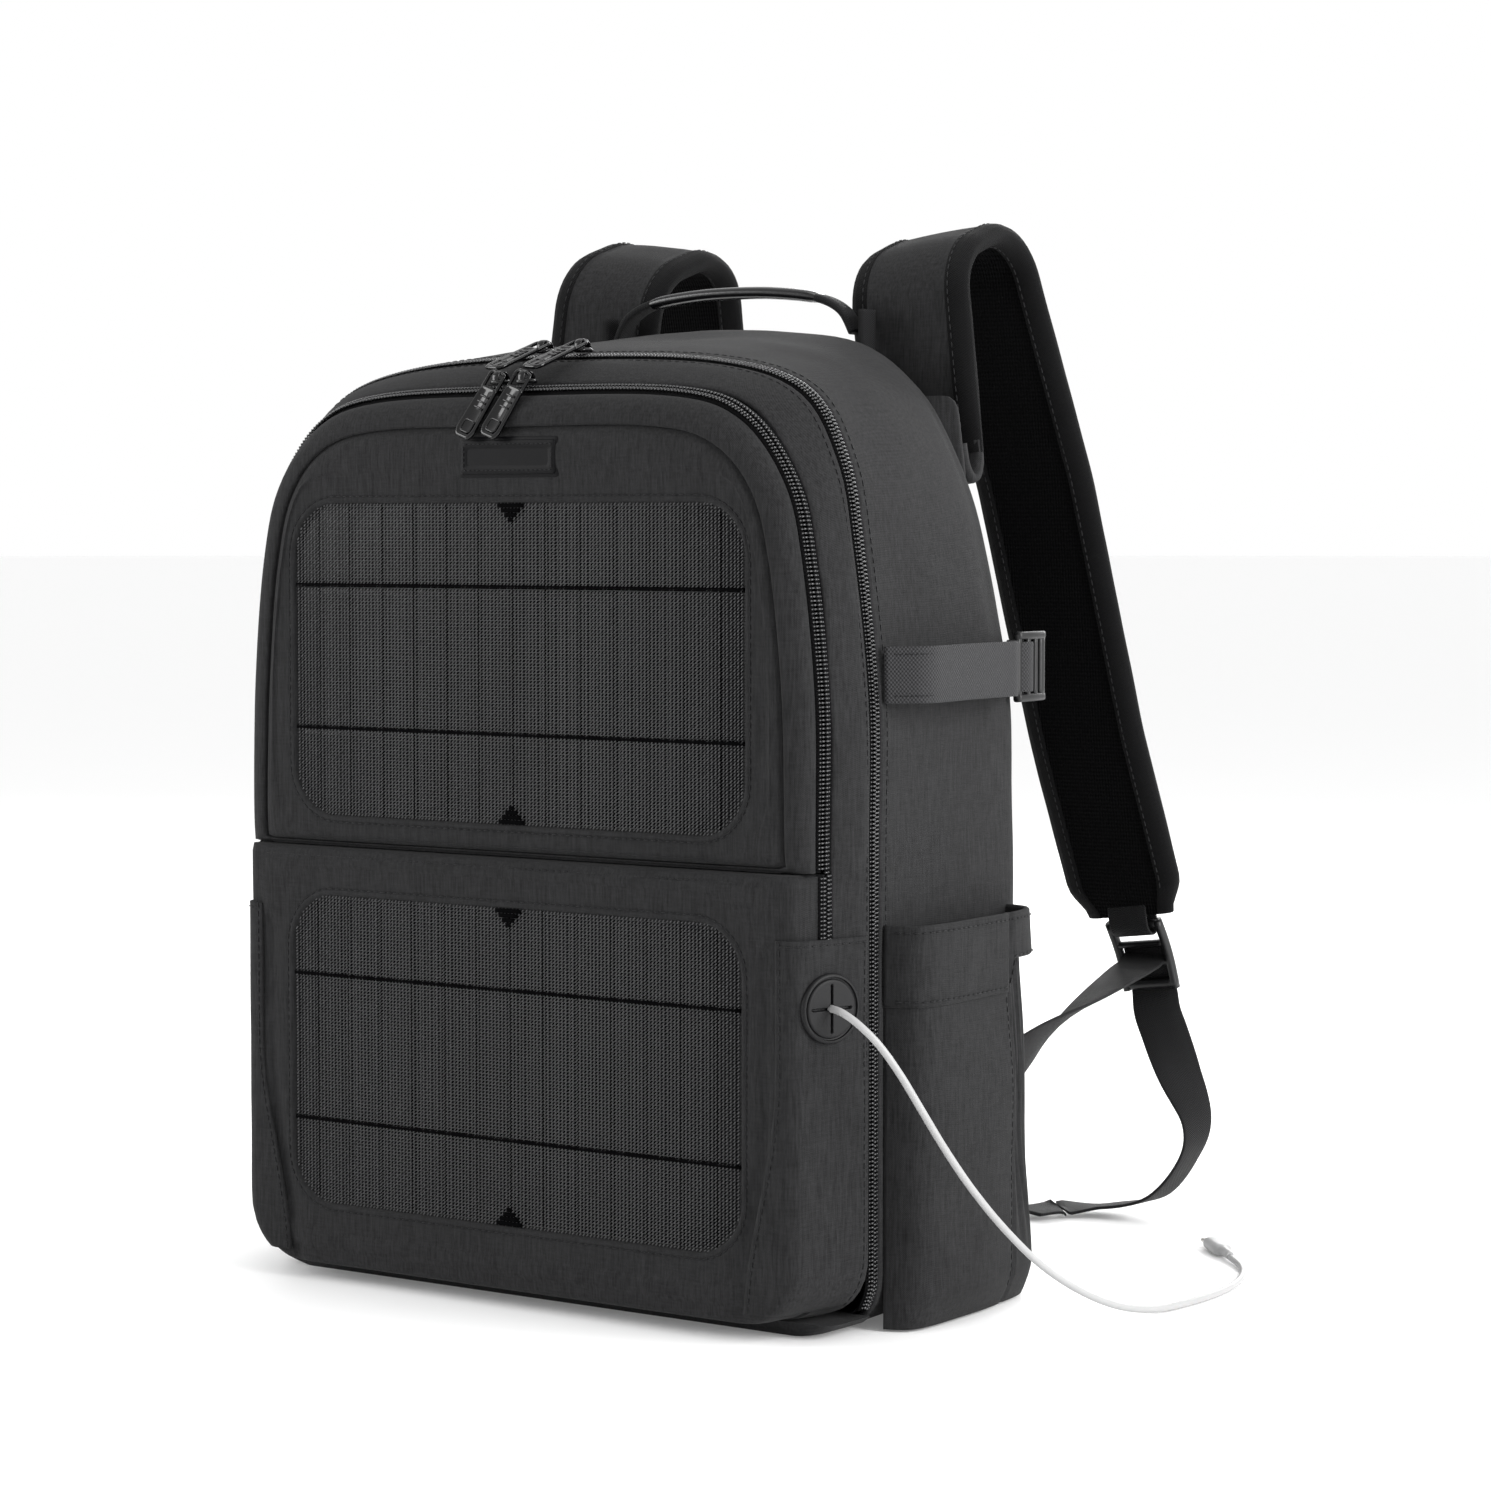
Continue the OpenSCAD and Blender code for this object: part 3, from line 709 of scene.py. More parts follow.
def outline(y, inset=0.0, floor=0.0, radius=24.0):
    """Closed front view of the bag at a depth: from the bottom centre round by the right."""
    row = np.array([[np.interp(y, STATION_Y, UPPER[:, k, c]) for c in (0, 1)] for k in range(7)])
    low = half_width(y)
    row[:, 0] += (low - row[0, 0]) * np.clip((400 - row[:, 1]) / 175, 0, 1)
    turn = np.linspace(0, math.pi / 2, 8)
    corner = [(low - radius + radius * math.sin(a), floor + radius * (1 - math.cos(a)))
              for a in turn]
    ghost = np.array([(-row[-2, 0], row[-2, 1])])
    top = catmull(np.vstack([[(low, 160)], row, ghost]), 10)[:-10]
    half = np.vstack([[(0, floor)], corner, top])
    half = resample(half, HALF + 1)
    mirrored = half[1:-1][::-1] * (-1, 1)
    ring = np.vstack([half, mirrored])
    return beside(ring, inset) if inset else ring


def at_depth(curve, y):
    """Front-view points placed at a depth."""
    return np.stack([curve[:, 0], np.full(len(curve), float(y)), curve[:, 1]], axis=1)


def upper_part(curve, lowest):
    """The open run of a closed outline above a height, from the right side over to the left."""
    keep = np.where(curve[:, 1] >= lowest)[0]
    run = curve[keep[0]:keep[-1] + 1].copy()
    for end, other in ((0, keep[0] - 1), (-1, keep[-1] + 1)):
        a, b = curve[keep[end]], curve[other % len(curve)]
        t = (a[1] - lowest) / max(a[1] - b[1], 1e-6)
        run[end] = a + (b - a) * t
    return run


def step(value, low, high):
    """Smooth step from 0 at low to 1 at high."""
    t = np.clip((value - low) / (high - low), 0, 1)
    return t * t * (3 - 2 * t)


def loft_rows(rows, wrap=True):
    """Points and faces of a skin over rows of points, with both ends open."""
    verts = np.vstack(rows)
    return verts, grid_faces(len(rows), len(rows[0]), wrap)


def solid_rows(rows):
    """Points and faces of a skin over rings of points, with a cap on both ends."""
    verts, faces = loft_rows(rows)
    n = len(rows[0])
    return verts, faces + [tuple(range(n)), tuple(range(len(verts) - n, len(verts)))]


def torus_rows(rows):
    """Points and faces of a skin whose last ring meets its first."""
    verts, faces = loft_rows(rows)
    n, base = len(rows[0]), len(verts) - len(rows[0])
    return verts, faces + [(base + k, base + (k + 1) % n, (k + 1) % n, k) for k in range(n)]


def frame_ring(half_x, low, high, inset, radius, steps):
    """Rounded rectangle in the front view, drawn in by an inset."""
    x, z0, z1 = half_x - inset, low + inset, high - inset
    return rounded([(-x, z0, radius), (x, z0, radius), (x, z1, radius), (-x, z1, radius)], steps)


def from_middle(path):
    """Directions away from the bag's middle, seen from the front, for the points of a path."""
    return np.column_stack([path[:, 0], np.zeros(len(path)), path[:, 2] - MIDDLE_Z])


def make_shell():
    """Outer skin of the main compartment, its lining and the sill under the door."""
    front = [(-49.75, 1.9), (-49.6, 0.8), (-49.0, 0.2), (-47.5, 0.0)]
    rows = [at_depth(outline(y, i), y) for y, i in front]
    rows += [at_depth(outline(y), y) for y in (-42, -34, -24, -14, -4, 6, 16, 26, 36, 46, 56, 63)]
    edge = REAR_Y - 16
    for a in np.linspace(0, math.pi / 2, 9):
        rows.append(at_depth(outline(edge, 16 * (1 - math.cos(a))), edge + 16 * math.sin(a)))
    last = rows[-1]
    middle = np.array((0, REAR_Y, 235))
    for k in (0.93, 0.82, 0.66, 0.48, 0.3, 0.12):
        rows.append(middle + (last - middle) * k)
    verts, faces = loft_rows(rows)
    faces.append(tuple(range(len(verts) - 2 * HALF, len(verts))))
    weight = step(verts[:, 2], 14, 60) * step(verts[:, 1], -49, -30) * step(-verts[:, 1], -84, -70)
    verts = soft(verts, 1.7, 75, weight)
    verts = soft(verts, 0.7, 26, weight, 3.0)
    piece("shell_fabric", verts, faces, "fabric", "main_body", "main_shell", thick=3.0)
    rows = [at_depth(outline(y, 5.2), y) for y in (-49.6, -40, -20, 0, 20, 40, 60)]
    for a in np.linspace(0, math.pi / 2, 5):
        rows.append(at_depth(outline(60, 5.2 + 12 * (1 - math.cos(a))), 68 + 11 * math.sin(a)))
    last = rows[-1]
    for k in (0.8, 0.5, 0.2):
        rows.append(np.array((0, 79, 235)) + (last - (0, 79, 235)) * k)
    verts, faces = loft_rows(rows)
    faces.append(tuple(range(len(verts) - 2 * HALF, len(verts))))
    weight = step(verts[:, 2], 12, 60) * step(verts[:, 1], -46, -20)
    piece("shell_lining", soft(verts, 1.0, 40, weight, 5.0), faces, "lining", "main_body",
          thick=-0.5)
    rows = []
    for z, hw in ((0.2, 149), (1.5, 154), (4, 160.5), (7.3, 164.5)):
        plan = rounded([(-hw, -80 + (7.3 - z) * 0.5, 8), (hw, -80 + (7.3 - z) * 0.5, 8),
                        (hw + 3, SHELL_FRONT + 0.5, 0), (-hw - 3, SHELL_FRONT + 0.5, 0)], 5)
        rows.append(np.column_stack([plan, np.full(len(plan), z)]))
    verts, faces = solid_rows(rows)
    piece("base_sill_fabric", verts, faces, "fabric", "main_body", "base_sill", sharp=45)
    stitch = Bits()
    seam_y = -44.5
    path = at_depth(resample(upper_part(outline(seam_y, -0.1), 30), 400), seam_y)
    stitches(stitch, path, from_middle(path), *LONG_STITCH)
    stitch.piece("shell_zip_stitching", "stitch", "main_body")


make_shell()


# ---------------------------------------------------------------- zips

TOOTH_PITCH = 1.9
ZIP_END_Z = 183


def zip_side(name, node, body, y_edge, y_teeth, run_of, recess, stagger):
    """Half a zip: a tape just under the surface and its coil, seen as two rows of teeth."""
    count = 300
    run = resample(run_of(y_teeth, recess), count)
    inner = resample(run_of(y_edge, recess + 0.5), count)
    bend_y = y_edge + (y_teeth - y_edge) * 0.25
    rows = [at_depth(inner, y_edge), at_depth(inner + (run - inner) * 0.35, bend_y),
            at_depth(run, y_teeth)]
    verts, faces = loft_rows(rows, wrap=False)
    lay_at = run_length(run)
    lay = [(lay_at[k], r * 2.0, 0) for r in range(3) for k in range(count)]
    piece(name + "_tape", verts, faces, "tape", body, node, lay=lay, thick=0.9)
    bits = Bits()
    dense = beside(run, -0.7, closed=False)
    at = run_length(dense)
    into = 1 if y_edge > y_teeth else -1
    t = np.gradient(dense, axis=0)
    t /= np.maximum(np.linalg.norm(t, axis=1, keepdims=True), 1e-9)
    for y, length, width, height, lift in ((y_teeth + 0.2 * into, 2.5, 1.15, 1.6, 0.0),
                                           (y_teeth + 2.3 * into, 1.2, 1.0, 1.1, -0.25)):
        for s in np.arange(TOOTH_PITCH * (0.5 + stagger), at[-1], TOOTH_PITCH):
            p = np.array([np.interp(s, at, dense[:, k]) for k in (0, 1)])
            q = np.array([np.interp(s, at, t[:, k]) for k in (0, 1)])
            q /= max(np.linalg.norm(q), 1e-9)
            p = p + np.array((q[1], -q[0])) * lift
            bits.block((p[0], y, p[1]), (0, 1, 0), (q[0], 0, q[1]), (q[1], 0, -q[0]),
                       (length, width, height), 0.85)
    bits.piece(name + "_teeth", "teeth", body)


def over_top(lowest):
    """The run of the outline from one side, over the top, to the other, above a height."""
    return lambda y, inset: upper_part(outline(y, inset), lowest)


def down_side(side, low, high):
    """The upright run of the outline on one side between two heights."""
    def run(y, inset):
        x = side * (half_width(y) - inset)
        heights = np.linspace(low, high, 40)
        return np.array([(x, z) for z in (heights if side > 0 else heights[::-1])])
    return run


def make_zips():
    """The main zip, the front zip, and the front zip's ends below the flap, on the door."""
    rear, fore = (-81.0, -84.4), (-89.0, -86.3)
    zip_side("main_zip_shell", "main_zip_shell_tape", "main_body", -50.0, -53.2, over_top(11),
             1.1, 0.0)
    zip_side("main_zip_door", "main_zip_door_tape", "front_door", -58.0, -55.0, over_top(11),
             1.1, 0.5)
    zip_side("front_zip_door", "front_zip_door_tape", "front_door", *rear, over_top(SEAM_Z), 0.7, 0.0)
    zip_side("front_zip_flap", "front_zip_flap_tape", "front_flap", *fore, over_top(SEAM_Z + 0.9),
             0.7, 0.5)
    for name, side in SIDES:
        for part, depths, stagger in (("rear", rear, 0.0), ("fore", fore, 0.5)):
            zip_side("front_zip_end_" + part + "_" + name, (), "front_door", *depths,
                     down_side(side, ZIP_END_Z, SEAM_Z), -0.5, stagger)


make_zips()


# ---------------------------------------------------------------- front panels

WINDOW_HALF_W = (mm_box("upper_window_mesh")[1][0] - mm_box("upper_window_mesh")[0][0]) / 2
WINDOW_HALF_H = (mm_box("upper_window_mesh")[1][2] - mm_box("upper_window_mesh")[0][2]) / 2
WINDOW_R = 25.0
UPPER_Z = float((mm_box("upper_window_mesh")[0][2] + mm_box("upper_window_mesh")[1][2]) / 2)
LOWER_Z = float((mm_box("lower_window_mesh")[0][2] + mm_box("lower_window_mesh")[1][2]) / 2)


def window_curve(zc, grow):
    """The window's edge, grown outwards, round a height."""
    w, h, r = WINDOW_HALF_W + grow, WINDOW_HALF_H + grow, WINDOW_R + grow
    ring = rounded([(w, -h, r), (w, h, r), (-w, h, r), (-w, -h, r)], 16)
    return ring + (0, zc)


def ray_ring(curve, centre, thetas):
    """Where rays from a centre cross a closed curve."""
    rel = np.asarray(curve, float) - centre
    ang = np.unwrap(np.arctan2(rel[:, 1], rel[:, 0]))
    ang = np.maximum.accumulate(ang) + np.arange(len(ang)) * 1e-10
    ang = np.concatenate([ang + turn for turn in (-4 * math.pi, -2 * math.pi, 0, 2 * math.pi)])
    rel = np.tile(rel, (4, 1))
    out = []
    for t in thetas:
        k = int(np.searchsorted(ang, t))
        a, b = rel[k - 1], rel[k]
        d = np.array((math.cos(t), math.sin(t)))
        across = (b - a)[0] * d[1] - (b - a)[1] * d[0]
        s = 0.0 if abs(across) < 1e-12 else -(a[0] * d[1] - a[1] * d[0]) / across
        out.append(a + (b - a) * min(1, max(0, s)) + centre)
    return np.array(out)


def front_panel(name, node, body, face_y, zc, z_low, z_high, floor, edge_rows, shaped, corner=24.0):
    """One front panel: rings from the turned window edge to the side return.

    edge_rows gives each outer ring's depth, its inset from the outline and its pull from the
    heights z_low and z_high. shaped adds the folds. Returns the window's stitching.
    """
    centre = np.array((0, zc))
    base = outline(face_y, 0, floor, corner)
    hw = half_width(face_y)

    def clipped(curve, pull):
        c = curve.copy()
        c[:, 1] = np.clip(c[:, 1], z_low + pull, z_high - pull)
        return c

    start = resample(window_curve(zc, 12), 320, closed=True)
    thetas = list(np.arctan2(start[:, 1] - zc, start[:, 0]))
    for x, z in ((hw, z_low), (hw, z_high), (-hw, z_low), (-hw, z_high)):
        if math.isfinite(z):
            thetas.append(math.atan2(z - zc, x))
    thetas = np.array(sorted(t % (2 * math.pi) for t in thetas))
    outer = ray_ring(clipped(beside(base, edge_rows[0][1] + 1), 4), centre, thetas)
    reach = np.linalg.norm(outer - centre, axis=1)

    def held_in(grow):
        """The window's curve, grown, but kept inside the panel's own edge at the upper corners."""
        ring = ray_ring(window_curve(zc, grow), centre, thetas)
        far = np.linalg.norm(ring - centre, axis=1)
        limit = reach - 1.0 - 0.35 * (13 - grow)
        return centre + (ring - centre) * (np.minimum(far, limit) / far)[:, None]

    rows = []
    lip = [(-2.0, 1.9), (-0.5, 1.5), (0.2, 0.3), (0.8, -0.35), (1.6, -0.6), (2.6, -0.45),
           (3.1, -0.15), (3.7, -0.3), (5.5, -0.45), (8.0, -0.5), (10.5, -0.5), (13, -0.55)]
    for grow, dy in lip:
        rows.append(at_depth(held_in(grow), face_y + dy))
    inner = held_in(13)
    for t in (0.2, 0.4, 0.6, 0.8):
        rows.append(at_depth(inner + (outer - inner) * t,
                             face_y - 0.55 - 0.9 * math.sin(math.pi * t)))
    for y, inset, pull in edge_rows:
        src = base if y is None else outline(max(y, face_y), 0, floor, corner)
        ring = ray_ring(clipped(beside(src, inset), pull), centre, thetas)
        rows.append(at_depth(ring, face_y if y is None else y))
    verts, faces = loft_rows(rows)
    piece(name, shaped(verts), faces, "fabric", body, node, thick=2.0)
    stitch = Bits()
    path = resample(window_curve(zc, 3.1), 900, closed=True)
    path = at_depth(np.vstack([path, path[:1]]), face_y - 0.3)
    stitches(stitch, path, (0, -1, 0), *WINDOW_STITCH)
    return stitch


def swell(verts, zc, seed, depth, front):
    """Swells the front of a panel a little all round its window."""
    for k, (x, _, z) in enumerate(verts):
        n = noise.noise(Vector((x / 46, seed, z / 46)))
        w = step(abs(x), WINDOW_HALF_W + 8, WINDOW_HALF_W + 16) + step(
            abs(z - zc), WINDOW_HALF_H + 8, WINDOW_HALF_H + 14)
        verts[k, 1] += depth * n * min(1, w) * front[k]
    return verts


def flap_shape(verts):
    """The flap turns in towards the seam below and swells a little between its seams."""
    v = np.array(verts)
    front = step(-v[:, 1], 92, 98)
    v[:, 1] += 2.6 * np.exp(-np.maximum(v[:, 2] - SEAM_Z, 0) / 5.0) * front
    return swell(v, UPPER_Z, 7.7, 0.7, front)


def lower_shape(verts):
    """The lower panel: a soft fold beside each corner tab and a rounded upper lip."""
    v = np.array(verts)
    front = step(-v[:, 1], 96, 101)
    fold_x = 146 - 16 * step(-v[:, 2], -120, 0)
    below = step(-v[:, 2], -186, -176)
    v[:, 1] += 1.8 * np.exp(-((np.abs(v[:, 0]) - fold_x) / 3.5) ** 2) * front * below
    v[:, 1] += 1.3 * step(v[:, 2], SEAM_Z - 2.5, SEAM_Z) * front
    return swell(v, LOWER_Z, 3.7, 0.8, front)


def make_front_panels():
    """The flap and the lower panel, with their window and seam stitching."""
    flap_edges = [
        (-99.6, 11, 3.0), (-99.0, 10.0, 2.6), (-97.9, 9.4, 2.3), (-96.9, 9.0, 2.1), (-96.8, 8.5, 1.9),
        (-97.7, 8.2, 1.8), (-98.6, 7.4, 1.7), (-99.0, 6.0, 1.5), (-98.8, 4.0, 1.1), (-98.3, 2.2, 0.7),
        (-97.5, 0.8, 0.3), (-96.4, -0.2, 0), (-95.2, -0.8, 0), (-94.0, -1.1, 0),
        (-92.8, -1.1, 0), (-91.4, -0.8, 0), (-90.3, -0.2, 0), (-89.6, 0.2, 0), (-89.2, 1.4, 0)]
    stitch = front_panel("flap_fabric", ("flap_panel", "upper_window_binding"), "front_flap",
                         FLAP_FACE, UPPER_Z, SEAM_Z + 0.8, math.inf, 0, flap_edges, flap_shape)
    stitch.piece("flap_window_stitching", "stitch", "front_flap")
    lower_edges = [
        (None, 7, 3), (None, 5, 1.6), (-101.7, 3.2, 0.6), (-101.0, 1.6, 0.2), (-99.8, 0.5, 0),
        (-98, 0, 0), (-95, -0.3, 0), (-91, -0.3, 0), (-87, 0, 0), (-84, 0, 0), (-81.4, 0, 0)]
    stitch = front_panel("lower_fabric", ("lower_panel", "lower_window_binding"), "front_door",
                         LOWER_FACE, LOWER_Z, -50, SEAM_Z, DOOR_Z, lower_edges, lower_shape,
                         TAB_CORNER)
    for z in (SEAM_Z - 4.2, SEAM_Z - 8.4):
        path = [(x, LOWER_FACE - 0.35, z) for x in np.linspace(-148, 148, 60)]
        stitches(stitch, path, (0, -1, 0), *SEAM_STITCH)
    stitch.piece("lower_panel_stitching", "stitch", "front_door")


make_front_panels()


def make_band():
    """Puffed fabric band between the two zips, and its inner lining and divider."""
    rows = []
    for y, inset in ((-58.2, 1.9), (-58.4, 0.8), (-59.2, 0.0), (-61, -0.7), (-64, -1.3), (-68, -1.5),
                     (-72, -1.4), (-76, -0.9), (-79, -0.3), (-80.7, 0.2), (-81.1, 1.4)):
        plain = outline(y, 0, DOOR_Z, BAND_CORNER)
        puffed = outline(y, inset, DOOR_Z, BAND_CORNER)
        w = step(plain[:, 1], SEAM_Z - 12, SEAM_Z + 2)
        if y > -66:
            w = np.maximum(w, step(plain[:, 1], 12, 26))
        rows.append(at_depth(plain + (puffed - plain) * w[:, None], y))
    verts, faces = loft_rows(rows)
    verts = soft(verts, 0.9, 40, step(verts[:, 2], 40, 90) * step(-verts[:, 1], 59, 63), 9.0)
    piece("door_band_fabric", verts, faces, "fabric", "front_door", "door_band", thick=2.6)
    rows = []
    for k in (1.0, 0.97, 0.8, 0.5, 0.2):
        ring = outline(-61, 5.0, DOOR_Z, BAND_CORNER)
        ring = (0, 230) + (ring - (0, 230)) * k
        rows.append(at_depth(ring, -61.2 if k < 1 else -62.0))
    verts, faces = loft_rows(rows)
    faces.append(tuple(range(len(verts) - 2 * HALF, len(verts))))
    piece("door_divider_lining", verts, faces, "lining", "front_door", "door_divider", thick=0.9)
    stitch = Bits()
    seam_y = -62.6
    run = resample(upper_part(outline(seam_y, -1.15, DOOR_Z, BAND_CORNER), 40), 500)
    path = at_depth(run, seam_y)
    stitches(stitch, path, from_middle(path), 4.4, 3.0, 0.55, 0.45)
    stitch.piece("band_stitching", "stitch", "front_door")


make_band()


# ---------------------------------------------------------------- solar windows

def window_half(z):
    """Half the window's width at a height from its centre."""
    over = max(0.0, abs(z) - (WINDOW_HALF_H - WINDOW_R))
    return WINDOW_HALF_W - WINDOW_R + math.sqrt(max(0.0, WINDOW_R ** 2 - over ** 2))


def window_half_height(x):
    """Half the window's height at a distance from its centre line."""
    over = max(0.0, abs(x) - (WINDOW_HALF_W - WINDOW_R))
    return WINDOW_HALF_H - WINDOW_R + math.sqrt(max(0.0, WINDOW_R ** 2 - over ** 2))


def window_threads(prefix, body, face_y, zc):
    """Leno mesh woven from single threads."""
    pitch, step_z = 2.05, 1.62
    columns = int(2 * WINDOW_HALF_W / pitch)
    rows = int(2 * WINDOW_HALF_H / step_z)
    bits = Bits()
    verts, faces = [], []

    def stitch(x, z, along, across, y, rise):
        """One slanted thread crossing: a low roof, longer than it is wide."""
        a, c = np.array(along), np.array(across)
        corners = [-a - c, a - c, a + c, -a + c, -a * 0.62, a * 0.62]
        n = len(verts)
        verts.extend((x + q[0], y if k < 4 else y - rise, z + q[1]) for k, q in enumerate(corners))
        faces.extend(((n, n + 1, n + 5, n + 4), (n + 3, n + 4, n + 5, n + 2), (n, n + 4, n + 3),
                      (n + 1, n + 2, n + 5), (n, n + 3, n + 2, n + 1)))

    for c in range(columns):
        x = (c - (columns - 1) / 2) * pitch
        half = window_half_height(x)
        grain = RNG.uniform(0.78, 1.0)
        sunk = face_y + 0.75 + 0.5 * RNG.random() ** 3
        for r in range(rows):
            z = (r - (rows - 1) / 2) * step_z
            if abs(z) > half:
                continue
            lean = 0.5 if (r + c) % 2 else 0.72
            stitch(x, zc + z, (0.62 * grain, lean), (-0.34 * lean, 0.26), sunk, 0.5)
    for r in range(rows):
        z = (r - (rows - 1) / 2 + 0.5) * step_z
        half = window_half(z)
        stitch(0, zc + z, (half, 0), (0, 0.16), face_y + 1.5, 0.2)
    bits.add(verts, faces)
    bits.piece(prefix + "_window_threads", "thread", body, prefix + "_window_mesh")


def window_film(prefix, body, face_y, zc, lines):
    """Film of solar cells, sunk a little along the lines between them."""
    verts = []
    levels = np.linspace(-WINDOW_HALF_H, WINDOW_HALF_H, 76)
    across = 53
    for z in levels:
        half = window_half(z)
        seam = 0.5 if min(abs(zc + z - line) for line in lines) < 1.2 else 0.0
        for k in range(across):
            x = (2 * k / (across - 1) - 1) * half
            wave = 0.15 * noise.noise(Vector((x / 30, 1.0, z / 30)))
            verts.append((x, face_y + 2.0 + seam + wave, zc + z))
    faces = grid_faces(len(levels), across)
    piece(prefix + "_solar_film", verts, faces, "film", body, prefix + "_solar_cell", thick=0.5)


def window_ribs(prefix, body, face_y, zc, lines):
    """Raised lines between the cells, and the stepped triangle at the window's top and bottom."""
    ribs = Bits()

    def rib(path, side, width, thick):
        ribs.add(*swept(path, [side] * len(path), flat_profile(width, thick)))

    for line in lines:
        half = window_half(line - zc) - 0.5
        rib([(x, face_y + 0.75, line) for x in np.linspace(-half, half, 40)], (0, 0, 1), 1.9, 0.9)
    for x in np.arange(-117, 118, 19.5):
        half = window_half_height(x) - 0.5
        rib([(x, face_y + 1.35, zc + z) for z in np.linspace(-half, half, 20)], (1, 0, 0), 0.7, 0.4)
    for sign in (1, -1):
        for k in range(4):
            top = zc + sign * (WINDOW_HALF_H - 1.5 - 2.2 * k)
            reach = 7.5 - 2.0 * k
            rib([(x, face_y + 0.35, top) for x in np.linspace(-reach, reach, 6)], (0, 0, 1), 2.0, 0.5)
    ribs.piece(prefix + "_cell_ribs", "cell_rib", body)


def make_windows():
    """Both solar windows: thread mesh, film and ribs. lines are the heights between the cells."""
    for prefix, body, face_y, zc, lines in (
            ("upper", "front_flap", FLAP_FACE, UPPER_Z, (340, 271)),
            ("lower", "front_door", LOWER_FACE, LOWER_Z, (151, 80))):
        window_threads(prefix, body, face_y, zc)
        window_film(prefix, body, face_y, zc, lines)
        window_ribs(prefix, body, face_y, zc, lines)


make_windows()


# ---------------------------------------------------------------- label

def make_label():
    """Blank rubber patch with a raised frame and a row of stitching."""
    lo, hi = mm_box("label_patch")
    w = (hi[0] - lo[0]) / 2
    rows = []
    for inset, y in ((0, FLAP_FACE + 0.2), (0, -99.9), (0.5, -100.2), (1.5, -100.3), (1.7, -100.9),
                     (2.2, -101.1), (5.0, -101.05), (5.3, -100.9), (5.8, -100.9)):
        rows.append(at_depth(frame_ring(w, lo[2], hi[2], inset, 1.6, 4), y))
    verts, faces = solid_rows(rows)
    piece("label_patch_blank", verts, faces, "label", "front_flap", "label_patch", sharp=40)
    bits = Bits()
    path = resample(frame_ring(w, lo[2], hi[2], 3.4, 1.2, 4), 200, closed=True)
    stitches(bits, at_depth(np.vstack([path, path[:1]]), -101.2), (0, -1, 0), 2.6, 1.8, 0.5, 0.4)
    bits.piece("label_stitching", "stitch", "front_flap")


make_label()


# ---------------------------------------------------------------- corner tabs and port

def low_corner(z):
    """How far the bag's lower corner has drawn in at a height."""
    drop = max(0.0, TAB_CORNER - (z - DOOR_Z))
    return TAB_CORNER - math.sqrt(max(0.0, TAB_CORNER ** 2 - drop ** 2))


def make_tabs():
    """Fabric that wraps round each lower front corner, with stitching along its edges."""
    for name, side in SIDES:
        heights = np.concatenate([np.linspace(14, 26, 7), np.linspace(33, 178, 20), [182, 184]])
        rows, count = [], 44
        for z in heights:
            front_x = 133 + 17 * float(step(z, 8, 120))
            pull = low_corner(z) * 0.97
            path = rounded([(173.4 - pull, -63.0, 0), (173.4 - pull, -66, 12),
                            (159.4 - pull, -103.2, 9), (front_x, -103.4, 0)], 8, closed=False)
            path = resample(path, count)
            t = np.linspace(0, 1, count)
            puff = 0.7 * np.sin(math.pi * t) + 0.35 * noise.noise(Vector((z / 40, side, 2)))
            n = np.gradient(path, axis=0)
            n /= np.linalg.norm(n, axis=1, keepdims=True)
            path = path + np.stack([-n[:, 1], n[:, 0]], axis=1) * puff[:, None]
            rows.append(np.column_stack([path[:, 0] * side, path[:, 1], np.full(count, z)]))
        verts, faces = loft_rows(rows, wrap=False)
        piece("corner_tab_fabric_" + name, verts, faces, "fabric", "front_door",
              "corner_tab_" + name, thick=1.3)
        bits = Bits()
        edge = [r[-1] + np.array((side * 2.2, -0.15, 0)) for r in rows]
        stitches(bits, edge, (0, -1, 0), *TAB_STITCH)
        edge = [r[0] + np.array((side * 0.1, -2.2, 0)) for r in rows]
        stitches(bits, edge, (side, 0, 0), *TAB_STITCH)
        top = [p + np.array((side * 0.12, -0.1, -2.4)) for p in rows[-1]]
        stitches(bits, top, (side * 0.8, -0.6, 0), *TAB_STITCH)
        bits.piece("corner_tab_stitching_" + name, "stitch", "front_door")


make_tabs()

PORT = np.array((165.0, -84.0, 153.0))
PORT_OUT = np.array((36.0, -14.0, 0.0)) / math.hypot(36, 14)
PORT_SIDE = np.array((-PORT_OUT[1], PORT_OUT[0], 0.0))


def make_port():
    """Rubber port: bevelled rim, ring groove and a cross slit round the lead."""
    profile = [(2.2, -5.5), (3.6, -5.5), (3.6, 1.2), (16.0, 1.2), (16.0, 3.0), (15.7, 3.9),
               (15.0, 4.4), (14.4, 4.3), (14.1, 3.3), (13.5, 3.2), (13.2, 3.9), (12.7, 4.2)]
    profile += [(r, 4.25) for r in np.arange(12.2, 2.0, -0.4)]
    profile += [(1.8, 4.1), (1.72, 3.0), (1.72, -5.5)]
    count = 224
    rows = []
    for r, h in profile:
        ring = []
        for k in range(count):
            a = 2 * math.pi * k / count
            u, v = r * math.cos(a), r * math.sin(a)
            depth = 0.0
            if h > 4.0 and r < 13:
                for p, q in ((u, v), (v, u)):
                    over = max(0.0, abs(q) - 10.4)
                    depth = max(depth, 1.7 * float(1 - step(math.hypot(p, over), 0.42, 0.75)))
            ring.append(PORT + PORT_SIDE * u + np.array((0, 0, v)) + PORT_OUT * (h - depth))
        rows.append(ring)
    verts, faces = torus_rows(rows)
    piece("cable_port_rubber", verts, faces, "rubber", "front_door", "cable_port", sharp=50)


make_port()


# ---------------------------------------------------------------- side pockets and webbing

